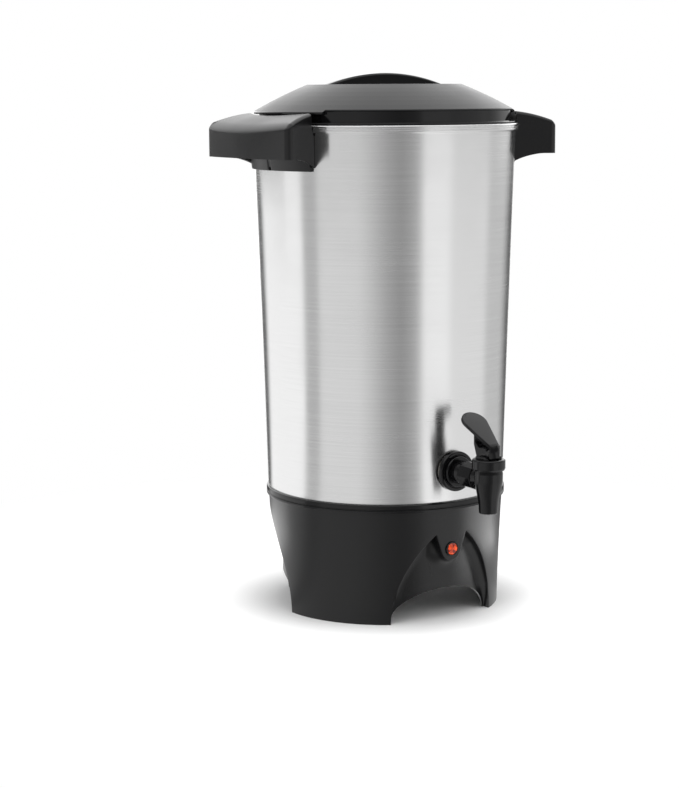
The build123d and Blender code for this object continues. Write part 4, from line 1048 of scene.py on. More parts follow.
    def section(self, line: Array, normal: Array, fillet: Array, depth: float, crook: float) -> Array:
        """Grid from the arch's edge to the low arch: rounding, wall, fillet and drum.

        A row has a way across the edge, along its normal, and a way in. The rounding takes
        crook (1 - sin s) across and crook (1 - cos s) in, and the fillet, about a point one fillet
        inside the opening, takes the opposite. The last rows run straight to the ellipse of the low
        arch.

        Args:
            line: The arch's edge, columns x 2.
            normal: Unit normals of the edge, away from the opening.
            fillet: Radius of the fillet at each column.
            depth: How far in from the outer face.
            crook: Radius of the edge's rounding.

        Returns:
            Grid of points, rows x columns x 3.
        """
        swing = np.linspace(0, math.pi / 2, 6)
        across = depth + crook * (1 - np.sin(swing))
        plan = line + normal * across[:, None, None]
        front = -np.sqrt((self.face(plan[..., 1]) - depth) ** 2 - plan[..., 0] ** 2)
        front += crook * (1 - np.cos(swing))[:, None]
        bend = fillet + depth
        across = -fillet + bend * np.cos(swing)[:, None]
        plan_in = line + normal * across[..., None]
        back = self.drum(plan_in) - fillet + bend * np.sin(swing)[:, None]
        low = self.low_edge(line)
        share = np.linspace(0, 1, 9)[1:, None, None]
        plan_low = blend(plan_in[-1], low, share)
        back_low = self.drum(plan_low) + depth
        middle = np.linspace(0, 1, 4)[1:-1, None]
        plan_wall = np.broadcast_to(line + normal * depth, (2, *line.shape))
        wall = blend(front[-1], back[0], middle)
        plans = np.concatenate([plan, plan_wall, plan_in, plan_low])
        depths = np.concatenate([front, wall, back, back_low])
        return np.stack([plans[..., 0], depths, plans[..., 1]], axis=-1)

    def drum(self, plan: Array) -> Array:
        """Y of the drum's leaning face at (across, up)."""
        radius = self.drum_r - self.drum_lean * plan[..., 1]
        return -np.sqrt(radius**2 - plan[..., 0] ** 2)

    def low_edge(self, line: Array) -> Array:
        """Points of the low arch's ellipse that belong to the points of the arch's edge.

        A point keeps its share of the width, and its height is h sqrt(1 - (x / a)^2).

        Args:
            line: The arch's edge, columns x 2.

        Returns:
            Points, columns x 2.
        """
        across = self.low_half * np.clip(line[:, 0] / self.arch_half, -1, 1)
        rise = self.low_height * np.sqrt(np.clip(1 - (across / self.low_half) ** 2, 0, 1))
        return np.column_stack([across, rise])

    def tongue_face(self, opening: Array, peaks: tuple[int, ...], depth: float) -> Array:
        """Grid of the tongue's face, from the lamp's hole out to its edge and the line over it.

        Args:
            opening: Line round the opening, columns x 2.
            peaks: Columns of the right and left peak.
            depth: How far in from the outer face.

        Returns:
            Grid of points, 5 x n x 3.
        """
        right, left = peaks
        share = np.linspace(0, 1, left - right + 1)[:, None]
        over = blend(opening[left], opening[right], share)
        outline = np.vstack([opening[right : left + 1], over])
        centre = np.array([0, self.lamp_z])
        bearing = outline - centre
        hole = centre + self.lamp_hole_r * bearing / np.linalg.norm(bearing, axis=1)[:, None]
        share = np.linspace(0, 1, 5)[:, None, None]
        plan = blend(hole, outline, share)
        front = -np.sqrt((self.face(plan[..., 1]) - depth) ** 2 - plan[..., 0] ** 2)
        return np.stack([plan[..., 0], front, plan[..., 1]], axis=-1)

    def cord_outlet(self, skin: Skin) -> None:
        """Add the ring round the cord's hole: skirt, a low boss, the bore, and the boss inside.

        Args:
            skin: Skin to add it to.
        """
        ring, wall, bore, boss = self.cord_ring, self.wall, self.cord_bore_r, self.cord_boss_r
        corners = [
            (ring, 0), (boss + 0.2, 0), (boss - 0.2, 0.7), (bore, 0.7), (bore, -5.2), (boss, -5.2),
            (boss, -wall), (ring, -wall),
        ]
        profile = rounded(corners, [0, 0.4, 0.4, 0.7, 0.4, 0.4, 0.3, 0], steps=4)
        swing = np.linspace(0, math.pi, self.ring_steps + 1)
        swing = np.concatenate([swing, math.tau - swing[-2:0:-1]])
        across = np.outer(np.sin(swing), profile[:, 0])
        height = self.cord_z - np.outer(np.cos(swing), profile[:, 0])
        reach = self.face(height)
        out = np.sqrt(reach**2 - across**2) + profile[:, 1]
        inside = profile[:, 1] == -wall
        out[:, inside] = np.sqrt((reach[:, inside] - wall) ** 2 - across[:, inside] ** 2)
        skin.add(np.stack([across, out, height], axis=-1), ring=True)

    def build(self) -> bpy.types.Object:
        """Make the whole base, with its shelf and screw posts.

        Returns:
            The piece.
        """
        skin = Skin()
        for angle, tongue, ring_side in ((-90, True, 0), (30, False, 1), (150, False, -1)):
            self.third(skin, angle, tongue, ring_side)
        self.cord_outlet(skin)
        under = self.shelf_z - self.shelf_wall
        seat_top, seat_foot = self.seat_r
        seat = [
            (self.top_r, self.height), (seat_top, self.height), (seat_foot, self.shelf_z),
            (self.shelf_r, self.shelf_z), (self.shelf_r, under), (self.face(under) - self.wall, under),
        ]
        around = 3 * (self.columns - 2 * self.leg_columns - 1)
        angles = math.radians(30) + np.linspace(0, math.tau, around, endpoint=False)
        skin.add(turned(rounded(seat, [0, 0.5, 1.0, 0.4, 0.4, 0]), angles), ring=True)
        bore, post_r = self.post_r
        top = under + 0.5
        post = turned([(bore, self.post_z), (post_r, self.post_z), (post_r, top), (bore, top)], 24)
        for angle in (-30, 90, 210):
            skin.add(spun(shifted(post, x=self.post_circle_r), angle), ring=True, tube=True)
        piece = skin.build("base_moulding")
        return settle(piece, SATIN_BLACK, Body.URN, "base_skirt", "base_drum")


# ---------------------------------------------------------------- handles
@dataclass
class Handle:
    """Black hollow handle: a crowned top that rolls over into splayed sides and a bowed outer face.

    crown_arc is three points of the top, each a distance from the axis and a height over the rim.
    steel_reach is how far from its root a side takes to leave the steel.
    """

    vessel: Vessel
    side: Side
    outer_x: float = 146.05
    root_x: float = 103.5
    root_half: float = 49.8
    shell_x: float = 107.3
    shell_root_half: float = 48.1
    side_angle: float = 29.0
    bow: float = 6.0
    corner_r: float = 4.0
    wall: float = 3.0
    root_r: float = 119.0
    back_half: float = 0.425
    notch_half: float = 1.7
    notch_r: float = 117.5
    notch_rise: float = 3.0
    low_z: float = 390.0
    grip_z: float = 401.0
    crown_arc: tuple[tuple[float, float], ...] = ((84.0, 10.2), (121.0, 7.6), (147.5, -3.6))
    root_z: float = 389.4
    lower_mid: tuple[float, float] = (116.05, 398.2)
    grip_x: float = 129.05
    steel_reach: float = 16.0
    plan_step: float = 1.8
    edge_side: float = 3.6
    edge_outer: float = 8.5

    def crown(self, x: Array) -> Array:
        """Height of the top: an arc through a point over the vessel's wall and two further out.

        Args:
            x: Distances from the axis.

        Returns:
            The heights.
        """
        arc = arc_through(*((out, self.vessel.rim_z + rise) for out, rise in self.crown_arc), 80)
        return np.interp(x, arc[:, 0], arc[:, 1])

    def lower(self, x: Array) -> Array:
        """Height of the lower edge: level under the grip, then an arc down to the root."""
        arc = arc_through((self.root_x, self.root_z), self.lower_mid, (self.grip_x, self.grip_z), 60)
        return np.interp(x, arc[:, 0], arc[:, 1])

    def outline(self, inset: float) -> tuple[Array, Array]:
        """Plan of the sides and outer face, and its outward normals.

        The sides spread by the side angle. Past the root a point moves out by its share of the way to
        the corners times bow (1 - (y / half width)^2), which bows the outer face.

        Args:
            inset: How far in from the outside.

        Returns:
            Points and unit normals, n x 2, from the root at -Y to the root at +Y.
        """
        slope = math.tan(math.radians(self.side_angle))
        root, corner_x = self.shell_x, self.outer_x - self.bow
        half = self.root_half + (root - self.root_x) * slope
        outer = self.root_half + (corner_x - self.root_x) * slope
        corners = [(root, -half), (corner_x, -outer), (corner_x, outer), (root, half)]
        line = rounded(corners, self.corner_r, steps=12)
        along = walked(line)
        line = sampled(line, along, np.union1d(along, np.arange(0, along[-1], self.plan_step)))
        line[:, 0] += self.bow * (line[:, 0] - root) / (corner_x - root) * (1 - (line[:, 1] / outer) ** 2)
        normal = right_of(np.gradient(line, axis=0))
        return line - normal * inset, normal

    def shell(self, inset: float) -> Array:
        """Grid of the outside, or of the inside when set in by the wall.

        Rows cross the crown from the root's arc to the rounding, go round it and down the wall. With e
        the way in from the outline, the rounding lowers the crown by b (1 - sqrt(1 - (1 - e/a)^2)),
        where a grows from the sides to the outer face.

        Args:
            inset: How far in from the outside.

        Returns:
            Grid of points, rows x n x 3.
        """
        line, normal = self.outline(inset)
        splay = math.radians(self.side_angle)
        lean = math.sin(splay)
        outward = np.clip((normal[:, 0] + lean) / (1 + lean), 0, 1) ** 2
        reach = np.maximum(self.edge_side + (self.edge_outer - self.edge_side) * outward - inset, 0.6)
        drop = np.full_like(reach, max(self.edge_side - inset, 0.6))
        swing = np.linspace(0, math.pi / 2, 10)
        half_y = self.shell_root_half - inset
        root_y = np.linspace(-half_y, half_y, len(line))
        root = np.column_stack([np.sqrt(self.root_r**2 - root_y**2), root_y])
        share = np.linspace(0, 1, 13)[:-1, None, None]
        start = line - normal * reach[:, None]
        top = blend(root, start, share)
        turn = line - normal * (reach * (1 - np.sin(swing))[:, None])[..., None]
        top_z = self.crown(top[..., 0]) - inset
        turn_z = self.crown(turn[..., 0]) - inset - drop * (1 - np.cos(swing))[:, None]
        share = np.concatenate([[0.02], np.linspace(0, 1, 9)[1:]])[:, None]
        wall_z = blend(turn_z[-1], self.lower(line[:, 0]), share)
        steel = np.where(wall_z > self.vessel.bead_z - 0.3, self.root_r, self.vessel.cone(wall_z) + 0.15)
        along = walked(line)
        from_end = np.minimum(along, along[-1] - along)
        pull = np.clip(1 - from_end / self.steel_reach, 0, 1) * (steel - self.root_r)
        away = np.column_stack([np.full(len(line), math.cos(splay)), lean * np.sign(line[:, 1])])
        wall = line + pull[..., None] * away
        plan = np.concatenate([top, turn, wall])
        height = np.concatenate([top_z, turn_z, wall_z])
        return np.concatenate([plan, height[..., None]], axis=-1)

    def back(self) -> Array:
        """Grid of the wall against the steel, a closed section carried round the vessel's axis.

        A small drain notch is let into the middle of its lower edge.

        Returns:
            Grid of points, angles x n x 3.
        """
        cone, bead, rim = self.vessel.cone, self.vessel.bead_z, self.vessel.rim_z
        low, near, far = self.low_z, self.root_r, self.root_r + self.wall
        corners = [
            (cone(low) + 0.15, low), (cone(bead) + 0.15, bead - 0.6), (near, bead - 0.3), (near, rim + 7),
            (far, rim + 5.5), (far, bead - 2), (cone(low) + self.wall, low),
        ]
        section = rounded(corners, [0.5, 0.3, 0.2, 0.3, 0.3, 8, 0.7], closed=True)
        notch = math.asin(self.notch_half / self.notch_r)
        side = np.append(np.linspace(-self.back_half, -notch - 0.002, 24), -notch)
        angles = np.concatenate([side, -side[::-1]])
        grid = turned(section, angles)
        middle = np.abs(angles) <= notch
        raised = np.clip(low + self.notch_rise - grid[..., 2], 0, None)
        grid[..., 2] += raised * middle[:, None]
        return grid

    def build(self) -> None:
        """Make the handle as one closed shell with its back wall."""
        outer, inner = self.shell(0), self.shell(self.wall)
        skin = Skin().add(outer).add(inner)
        for edge in (np.s_[0], np.s_[-1], np.s_[:, 0], np.s_[:, -1]):
            skin.bridge(outer[edge], inner[edge])
        back = self.back()
        skin.add(back, tube=True).add(slab_end(back[0])).add(slab_end(back[-1]))
        skin.points = [spun(points, self.side.value) for points in skin.points]
        name = f"handle_{self.side.name.lower()}"
        piece = skin.build(f"{name}_moulding", sharp=50)
        settle(piece, SATIN_BLACK, Body.URN, name)


def slab_end(loop: Array) -> Array:
    """Grid that closes a loop of points towards its mean.

    Args:
        loop: Points, n x 3.

    Returns:
        Grid of points, 3 x (n + 1) x 3.
    """
    share = np.linspace(0, 1, 3)[:, None, None]
    return blend(np.vstack([loop, loop[:1]]), loop.mean(axis=0), share)


# ---------------------------------------------------------------- lid
@dataclass
class Lid:
    """Domed black lid with a round recess, lip, seat flange, plug and two ears."""

    rim_z: float = 428.4
    flat_r: float = 68.0
    flat_z: float = 462.5
    edge_r: float = 112.3
    edge_z: float = 441.3
    wall: float = 2.4
    ceiling_z: float = 460.1
    dome_mid: tuple[float, float] = (90.15, 452.8)
    under_mid: tuple[float, float] = (89.05, 450.4)
    under_z: float = 439.7
    recess_r: float = 62.0
    floor_r: float = 54.0
    floor_z: float = 446.0
    plug_r: float = 111.0
    plug_z: float = 418.4
    flange_r: float = 116.5
    ear_r: float = 115.6
    ear_half: float = 30.0
    grip_top: float = 472.4
    grip_half: float = 4.6
    grip_round: float = 2.2

    def profile(self, ear: bool) -> Array:
        """Section of the lid, from the recess over the dome to the plug and back underneath.

        Args:
            ear: Whether it has an ear in place of the plain lip.

        Returns:
            Points of (radius, height), n x 2.
        """
        edge, plug, inner = self.edge_z, self.plug_r, self.plug_r - self.wall
        flange_top, flange_low = self.rim_z + 1.8, self.rim_z + 0.1
        dome = arc_through((self.flat_r, self.flat_z), self.dome_mid, (self.edge_r, edge), 7)
        crest = (self.flat_r - 0.8, self.ceiling_z)
        under = arc_through((inner, self.under_z), self.under_mid, crest, 7)
        lip = [(self.edge_r, edge), (self.edge_r, edge - 1.4), (plug, edge - 1.4)]
        if ear:
            lip = [(self.ear_r, edge - 1.9), (self.ear_r, edge - 3.9), (plug, edge - 3.9)]
        floor = self.floor_z - self.wall
        corners = np.vstack([
            [(0, self.floor_z), (self.floor_r, self.floor_z), (self.recess_r, self.flat_z - 0.8)],
            [(self.recess_r + 0.8, self.flat_z)], dome[:-1], lip,
            [(plug, flange_top), (self.flange_r, flange_top), (self.flange_r, flange_low)],
            [(plug, flange_low), (plug, self.plug_z), (inner, self.plug_z)], under,
            [(self.recess_r + 2.6, self.ceiling_z), (self.floor_r + 1.8, floor), (0, floor)],
        ])
        radii = np.concatenate([
            [0, 2.5, 0.5, 0.5, 1.2], np.full(5, 60.0), [1.0, 0.5, 0.4, 0.5, 0.5, 0.4, 0.2, 0.8, 0.8, 1.0],
            np.full(5, 60.0), [1.0, 1.0, 2.0, 0],
        ])
        return rounded(corners, radii, steps=5)

    def build(self) -> None:
        """Make the lid's shell and its grip."""
        half, step = math.radians(self.ear_half), math.radians(0.25)
        ends = np.array([half, math.pi - half, math.pi + half, math.tau - half])
        near_ends = (ends[:, None] + step * np.arange(-2, 3)).ravel()
        even = np.linspace(0, math.tau, 300, endpoint=False)
        angles = np.unique(np.concatenate([even, near_ends]).round(6))
        away = np.abs(np.remainder(angles + math.pi / 2, math.pi) - math.pi / 2)
        share = np.clip((half + step - away) / (2 * step), 0, 1)[:, None, None]
        grid = blend(turned(self.profile(False), angles), turned(self.profile(True), angles), share)
        piece = Skin().add(grid, ring=True).build("lid_moulding")
        settle(piece, SATIN_BLACK, Body.LID, "lid_shell")
        piece.data.materials.append(material_of(GLOSS_BLACK))
        low = [face.center.z < (self.edge_z - 1.0) * MM for face in piece.data.polygons]
        piece.data.polygons.foreach_set("material_index", np.array(low, dtype=np.int32))
        settle(self.grip(), GLOSS_BLACK, Body.LID, "lid_grip")

    def grip(self) -> bpy.types.Object:
        """Arched bar in the recess: an upright section with round shoulders, carried along X.

        Returns:
            The bar, not yet dressed.
        """
        end, foot = self.recess_r - 0.4, self.floor_r - 0.5
        spring = self.flat_z - 0.4
        x = end * np.sin(np.linspace(-math.pi / 2, math.pi / 2, 97))
        arc = arc_through((-end, spring), (0, self.grip_top), (end, spring), 201)
        top = np.interp(x, arc[:, 0], arc[:, 1])
        bottom = np.interp(np.abs(x), [foot, end], [self.floor_z, spring])
        swing = np.linspace(0, math.pi / 2, 8)
        shoulder = self.grip_half - self.grip_round * (1 - np.cos(swing))
        drop = self.grip_round * (1 - np.sin(swing))
        flat = np.array([0.5, 0.0, -0.5]) * self.grip_half * 0.5
        y = np.concatenate([[self.grip_half], shoulder, flat, -shoulder[::-1], [-self.grip_half]])
        drops = np.concatenate([[np.inf], drop, np.zeros(3), drop[::-1], [np.inf]])
        z = np.maximum(top[:, None] - drops, bottom[:, None])
        grid = np.stack([np.broadcast_to(x[:, None], z.shape), np.broadcast_to(y, z.shape), z], axis=-1)
        return Skin().add(grid, tube=True).build("lid_grip_bar", sharp=50)


# ---------------------------------------------------------------- ready light
@dataclass
class ReadyLight:
    """Round lamp in the tongue: black ring and a cut lens."""

    height: float = 64.2
    face_r: float = 103.677
    ring_r: float = 6.4
    lens_r: float = 5.0
    sleeve: tuple[float, float] = (5.25, 4.2)
    sleeve_length: float = 14.0
    facets: int = 16

    def build(self) -> None:
        """Make the ring with its sleeve, and the lens."""
        back, front = self.face_r - 0.3, self.face_r + 1.1
        outer, bore = self.sleeve
        end = self.face_r - self.sleeve_length
        corners = [
            (self.lens_r, back), (self.lens_r + 0.1, front), (self.ring_r, front), (self.ring_r, back),
            (outer, back), (outer, end), (bore, end), (bore, self.face_r - 1.5),
        ]
        profile = rounded(corners, [0.1, 0.3, 0.5, 0.1, 0.1, 0.3, 0.2, 0.1], closed=True)
        ring = Skin().add(laid_forward(turned(profile, 64), self.height), ring=True, tube=True)
        settle(ring.build("lamp_ring"), GLOSS_BLACK, Body.URN, "lamp_bezel")
        lens = Skin().add(laid_forward(self.cut(), self.height), tube=True)
        settle(lens.build("lamp_cut_lens", smooth=False), LAMP_RED, Body.URN, "lamp_lens")

    def cut(self) -> Array:
        """Lens as rings of points, alternate ones lower, like the facets of a cut stone.

        Returns:
            Grid of points, rings x facets x 3.
        """
        angles = np.linspace(0, math.tau, self.facets, endpoint=False)
        even = np.arange(self.facets) % 2 == 0
        out = self.lens_r
        rings = [
            (0, 0, -1.5, -1.5), (out, out, -1.5, -1.5), (out, out, 0.9, 0.9),
            (4.3, 4.0, 1.5, 1.9), (2.0, 2.4, 2.25, 2.2), (0, 0, 2.3, 2.3),
        ]
        radius = np.stack([np.where(even, first, second) for first, second, _, _ in rings])
        height = self.face_r + np.stack([np.where(even, first, second) for _, _, first, second in rings])
        return np.stack([radius * np.cos(angles), radius * np.sin(angles), height], axis=-1)


# ---------------------------------------------------------------- tap
@dataclass
class Tap:
    """Glossy black lever tap: flange, body with a neck and a spout, and bonnet with two ears."""

    height: float = 133.5
    steel_r: float = 106.447
    spout_out: float = 155.847
    mouth_z: float = 105.0
    seat_z: float = 117.0
    bonnet_z: float = 142.0
    bonnet_top: float = 151.5
    bonnet_r: float = 14.1
    flange_r: float = 17.4
    shank_r: float = 8.5
    neck_r: float = 10.3
    bore_r: float = 5.0
    chamber_r: float = 8.9
    mouth_r: float = 5.8
    stem_hole_r: float = 2.4
    ear_half: float = 7.05
    ear_sides: tuple[float, float] = (5.3, 8.7)
    shank_end: float = 93.35
    thread_steps: int = 18
    flats: int = 8

    def at_spout(self, grid: Array) -> Array:
        """Move an upright shape onto the spout's axis."""
        return shifted(grid, y=-self.spout_out)

    def flange(self) -> Array:
        """Stepped round flange on the steel.

        Returns:
            Grid of points, angles x n x 3.
        """
        back, r = self.steel_r + 1.2, self.flange_r
        corners = [
            (self.shank_r, back), (r, back), (r, back + 4.2), (r - 2.8, back + 4.4), (r - 3.3, back + 3.7),
            (r - 3.8, back + 3.7), (r - 4.0, back + 7.5), (self.shank_r, back + 7.5),
        ]
        profile = rounded(corners, [0, 0.6, 1.3, 0.5, 0.15, 0.15, 1.2, 0.1], closed=True)
        return laid_forward(turned(profile, 128), self.height)

    def neck(self) -> Array:
        """Shank, round neck and wrench flats, bored through.

        Where a row belongs to the flats, its radius is the flat's distance over the cosine of the angle
        from the middle of that flat. What reaches into the spout is trimmed to the valve chamber's wall,
        and what reaches under the bonnet to its foot.

        Returns:
            Grid of points, angles x n x 3.
        """
        end, start, neck, shank = self.shank_end, self.steel_r + 8.7, self.neck_r, self.shank_r
        near, far, last = start + 10.5, self.spout_out - 13, self.spout_out - 4
        corner_r = neck + 1.3
        thread = [(shank - 0.5 * (step % 2), end + 0.7 + 0.65 * step) for step in range(self.thread_steps)]
        corners = [
            (self.bore_r, end), (shank - 0.6, end), *thread, (shank, start), (neck, start), (neck, near),
            (corner_r, near), (corner_r, far), (neck, far), (neck, last), (self.bore_r, last),
        ]
        radii = [0.3, 0.3, *[0.1] * len(thread), 0.2, 0.4, 0.5, 0.5, 0.5, 0.5, 0.2, 0.2]
        profile = rounded(corners, radii, closed=True, steps=3)
        angles = np.linspace(0, math.tau, 128, endpoint=False)
        grid = turned(profile, angles)
        on_flats = (profile[:, 0] > neck + 0.02) & (profile[:, 1] > start + 2)
        half = math.pi / self.flats
        flat = math.cos(half) / np.cos(np.remainder(angles, 2 * half) - half)
        grid[:, on_flats, :2] *= flat[:, None, None]
        x, y, z = np.moveaxis(laid_forward(grid, self.height), -1, 0)
        from_axis = np.hypot(x, y + self.spout_out)
        z = np.where(from_axis < self.bonnet_r + 0.3, np.minimum(z, self.bonnet_z - 0.05), z)
        inside = from_axis < self.chamber_r + 0.6
        wall = np.sqrt(np.clip((self.chamber_r + 0.6) ** 2 - x**2, 0, None)) - self.spout_out
        return np.stack([x, np.where(inside, wall, y), z], axis=-1)

    def spout(self) -> Array:
        """Valve chamber and spout: outside from mouth to shoulder, then down the chamber and bore.

        Returns:
            Grid of points, angles x n x 3.
        """
        z = self.mouth_z
        top, seat, chamber, mouth = self.bonnet_z, self.seat_z, self.chamber_r, self.mouth_r
        corners = [
            (7.85, z), (8.2, z + 6), (9.0, z + 12.5), (10.7, z + 20), (12.0, z + 27), (12.1, top - 3),
            (11.4, top), (chamber, top), (chamber, seat), (mouth, seat), (mouth, z),
        ]
        radii = [0.8, 60, 60, 60, 20, 2.5, 0.4, 0.3, 0.6, 0.4, 0.8]
        return self.at_spout(turned(rounded(corners, radii, closed=True), 128))

    def bonnet(self) -> Array:
        """Screwed cap with a rounded top edge and a fine line round its foot.

        Returns:
            Grid of points, angles x n x 3.
        """
        low, high, r = self.bonnet_z, self.bonnet_top, self.bonnet_r
        hole, plug = self.stem_hole_r, self.chamber_r - 0.1
        corners = [
            (hole, low - 3.2), (plug, low - 3.2), (plug, low), (r - 0.8, low), (r - 0.5, low + 0.8),
            (r, low + 1.6), (r, high), (hole, high),
        ]
        profile = rounded(corners, [0.2, 0.3, 0.1, 0.3, 0.2, 0.4, 1.6, 0.4], closed=True)
        return self.at_spout(turned(profile, 128))

    def ear(self, side: int) -> Array:
        """Rounded upright ear beside the lever's hub.

        Args:
            side: 1 for the right ear, -1 for the left one.

        Returns:
            Grid of points, rows x n x 3.
        """
        low, high, half = self.bonnet_top - 1.2, self.bonnet_top + 2.4, self.ear_half
        corners = [(-half, low), (half, low), (half, high), (-half, high)]
        outline = rounded(corners, [0.2, 0.2, 1.6, 1.6], closed=True)
        y, z, x = np.moveaxis(slab(outline, *self.ear_sides, 0.4), -1, 0)
        return self.at_spout(np.stack([side * x, y, z], axis=-1))

    def build(self) -> None:
        """Make the flange, body and bonnet."""
        piece = Skin().add(self.flange(), ring=True, tube=True).build("tap_flange_ring")
        settle(piece, GLOSS_BLACK, Body.URN, "tap_flange")
        skin = Skin().add(self.neck(), ring=True, tube=True).add(self.spout(), ring=True, tube=True)
        settle(skin.build("tap_casting"), GLOSS_BLACK, Body.URN, "tap_body")
        skin = Skin().add(self.bonnet(), ring=True, tube=True)
        for side in (-1, 1):
            skin.add(self.ear(side), tube=True)
        settle(skin.build("tap_cap"), GLOSS_BLACK, Body.URN, "tap_bonnet")


@dataclass
class Lever:
    """Moulded lever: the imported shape, with thin cheeks over the ends of the pin's slot."""

    fitting: Fitting
    slot_y: float = -153.597
    slot_z: float = 158.25
    slot_half: tuple[float, float] = (4.3, 2.0)
    cheek: tuple[float, float] = (4.4, 4.82)

    def build(self, nodes: dict[str, bpy.types.Object]) -> None:
        """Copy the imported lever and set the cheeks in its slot.

        Args:
            nodes: The frame's CAD objects, by name.
        """
        half_y, half_z = self.slot_half
        corners = [(-half_y, -half_z), (half_y, -half_z), (half_y, half_z), (-half_y, half_z)]
        outline = rounded(corners, 0.3, closed=True) + [self.slot_y, self.slot_z]
        y, z, x = np.moveaxis(slab(outline, *self.cheek, 0.05), -1, 0)
        skin = Skin()
        for side in (-1, 1):
            skin.add(np.stack([side * x, y, z], axis=-1), tube=True)
        self.fitting.build(nodes)
        settle(skin.build("tap_lever_cheeks"), GLOSS_BLACK, Body.LEVER)


FITTINGS = [
    Fitting("bottom_cover", "bottom_plate", SATIN_BLACK),
    Fitting("bottom_cover_screws", "bottom_plate_screws", ZINC_STEEL),
    Fitting("base_nuts", "vessel_stud_nuts", ZINC_STEEL),
    Fitting("perking_heater", "perking_heater_ring", BRIGHT_STEEL),
    Fitting("keep_warm_heater", "keep_warm_ring", MICA),
    Fitting("heater_clamp", "heater_clamp_plate", ZINC_STEEL),
    Fitting("clamp_nut", "heater_clamp_nut", ZINC_STEEL),
    Fitting("thermostat", "thermostat_disc", STEATITE),
    Fitting("thermal_fuse", "thermal_fuse_can", BRIGHT_STEEL),
    Fitting("heat_shield", "heat_shield_dish", SPUN_ALUMINIUM),
    Fitting("terminal_block", "terminal_block_body", STEATITE),
    Fitting("terminal_screws", "terminal_block_screws", BRASS),
    Fitting("lamp_tube", "neon_tube", LAMP_GLASS),
    Fitting("inner_leads", "sleeved_leads", SLEEVING),
    Fitting("handle_nuts", "handle_flange_nuts", ZINC_STEEL),
    Fitting("lid_grip_screws", "grip_screws", ZINC_STEEL, Body.LID),
    Fitting("basket_lid", "water_spreader", SPUN_ALUMINIUM, Body.SPREADER, 4.0),
    Fitting("coffee_basket", "coffee_basket_cup", SPUN_ALUMINIUM, Body.BASKET),
    Fitting("pump_tube", "percolator_tube", SPUN_ALUMINIUM, Body.PUMP),
    Fitting("pump_foot", "percolator_foot", SPUN_ALUMINIUM, Body.PUMP),
    Fitting("pump_valve", "percolator_valve", BRIGHT_STEEL, Body.VALVE),
    Fitting("tap_outer_gasket", "outer_gasket", SILICONE),
    Fitting("tap_inner_gasket", "inner_gasket", SILICONE),
    Fitting("tap_nut", "tap_lock_nut", SATIN_BLACK),
    Fitting("tap_stem", "valve_stem", BRIGHT_STEEL, Body.STEM),
    Fitting("seat_cup", "valve_seat_cup", SILICONE, Body.STEM),
    Spring("tap_spring", "seat_spring", BRIGHT_STEEL),
    Fitting("lever_pin", "lever_cross_pin", BRIGHT_STEEL, Body.STEM),
]


# ---------------------------------------------------------------- camera and studio
@dataclass
class View:
    """Camera at the height and bearing of a standing onlooker with a long lens."""

    bearing: float = -32.5
    distance: float = 1.76
    aside: float = 0.0409
    height: float = 0.456
    pitch: float = 8.69
    roll: float = -0.35
    lens: float = 90.26

    def build(self) -> None:
        """Make the camera and use it."""
        turn, tip = math.radians(self.bearing), math.radians(self.pitch)
        away = Vector((math.sin(turn), -math.cos(turn), 0))
        left = Vector((math.cos(turn), math.sin(turn), 0))
        camera = in_scene("camera", bpy.data.cameras.new("camera"))
        camera.location = away * self.distance - left * self.aside + Vector((0, 0, self.height))
        forward = -away * math.cos(tip) - Vector((0, 0, math.sin(tip)))
        level = forward.to_track_quat("-Z", "Y")
        camera.rotation_mode = "QUATERNION"
        camera.rotation_quaternion = level @ Quaternion((0, 0, 1), math.radians(self.roll))
        camera.data.lens = self.lens
        camera.data.sensor_width = 36.0
        camera.data.clip_end = 200.0
        bpy.context.scene.camera = camera


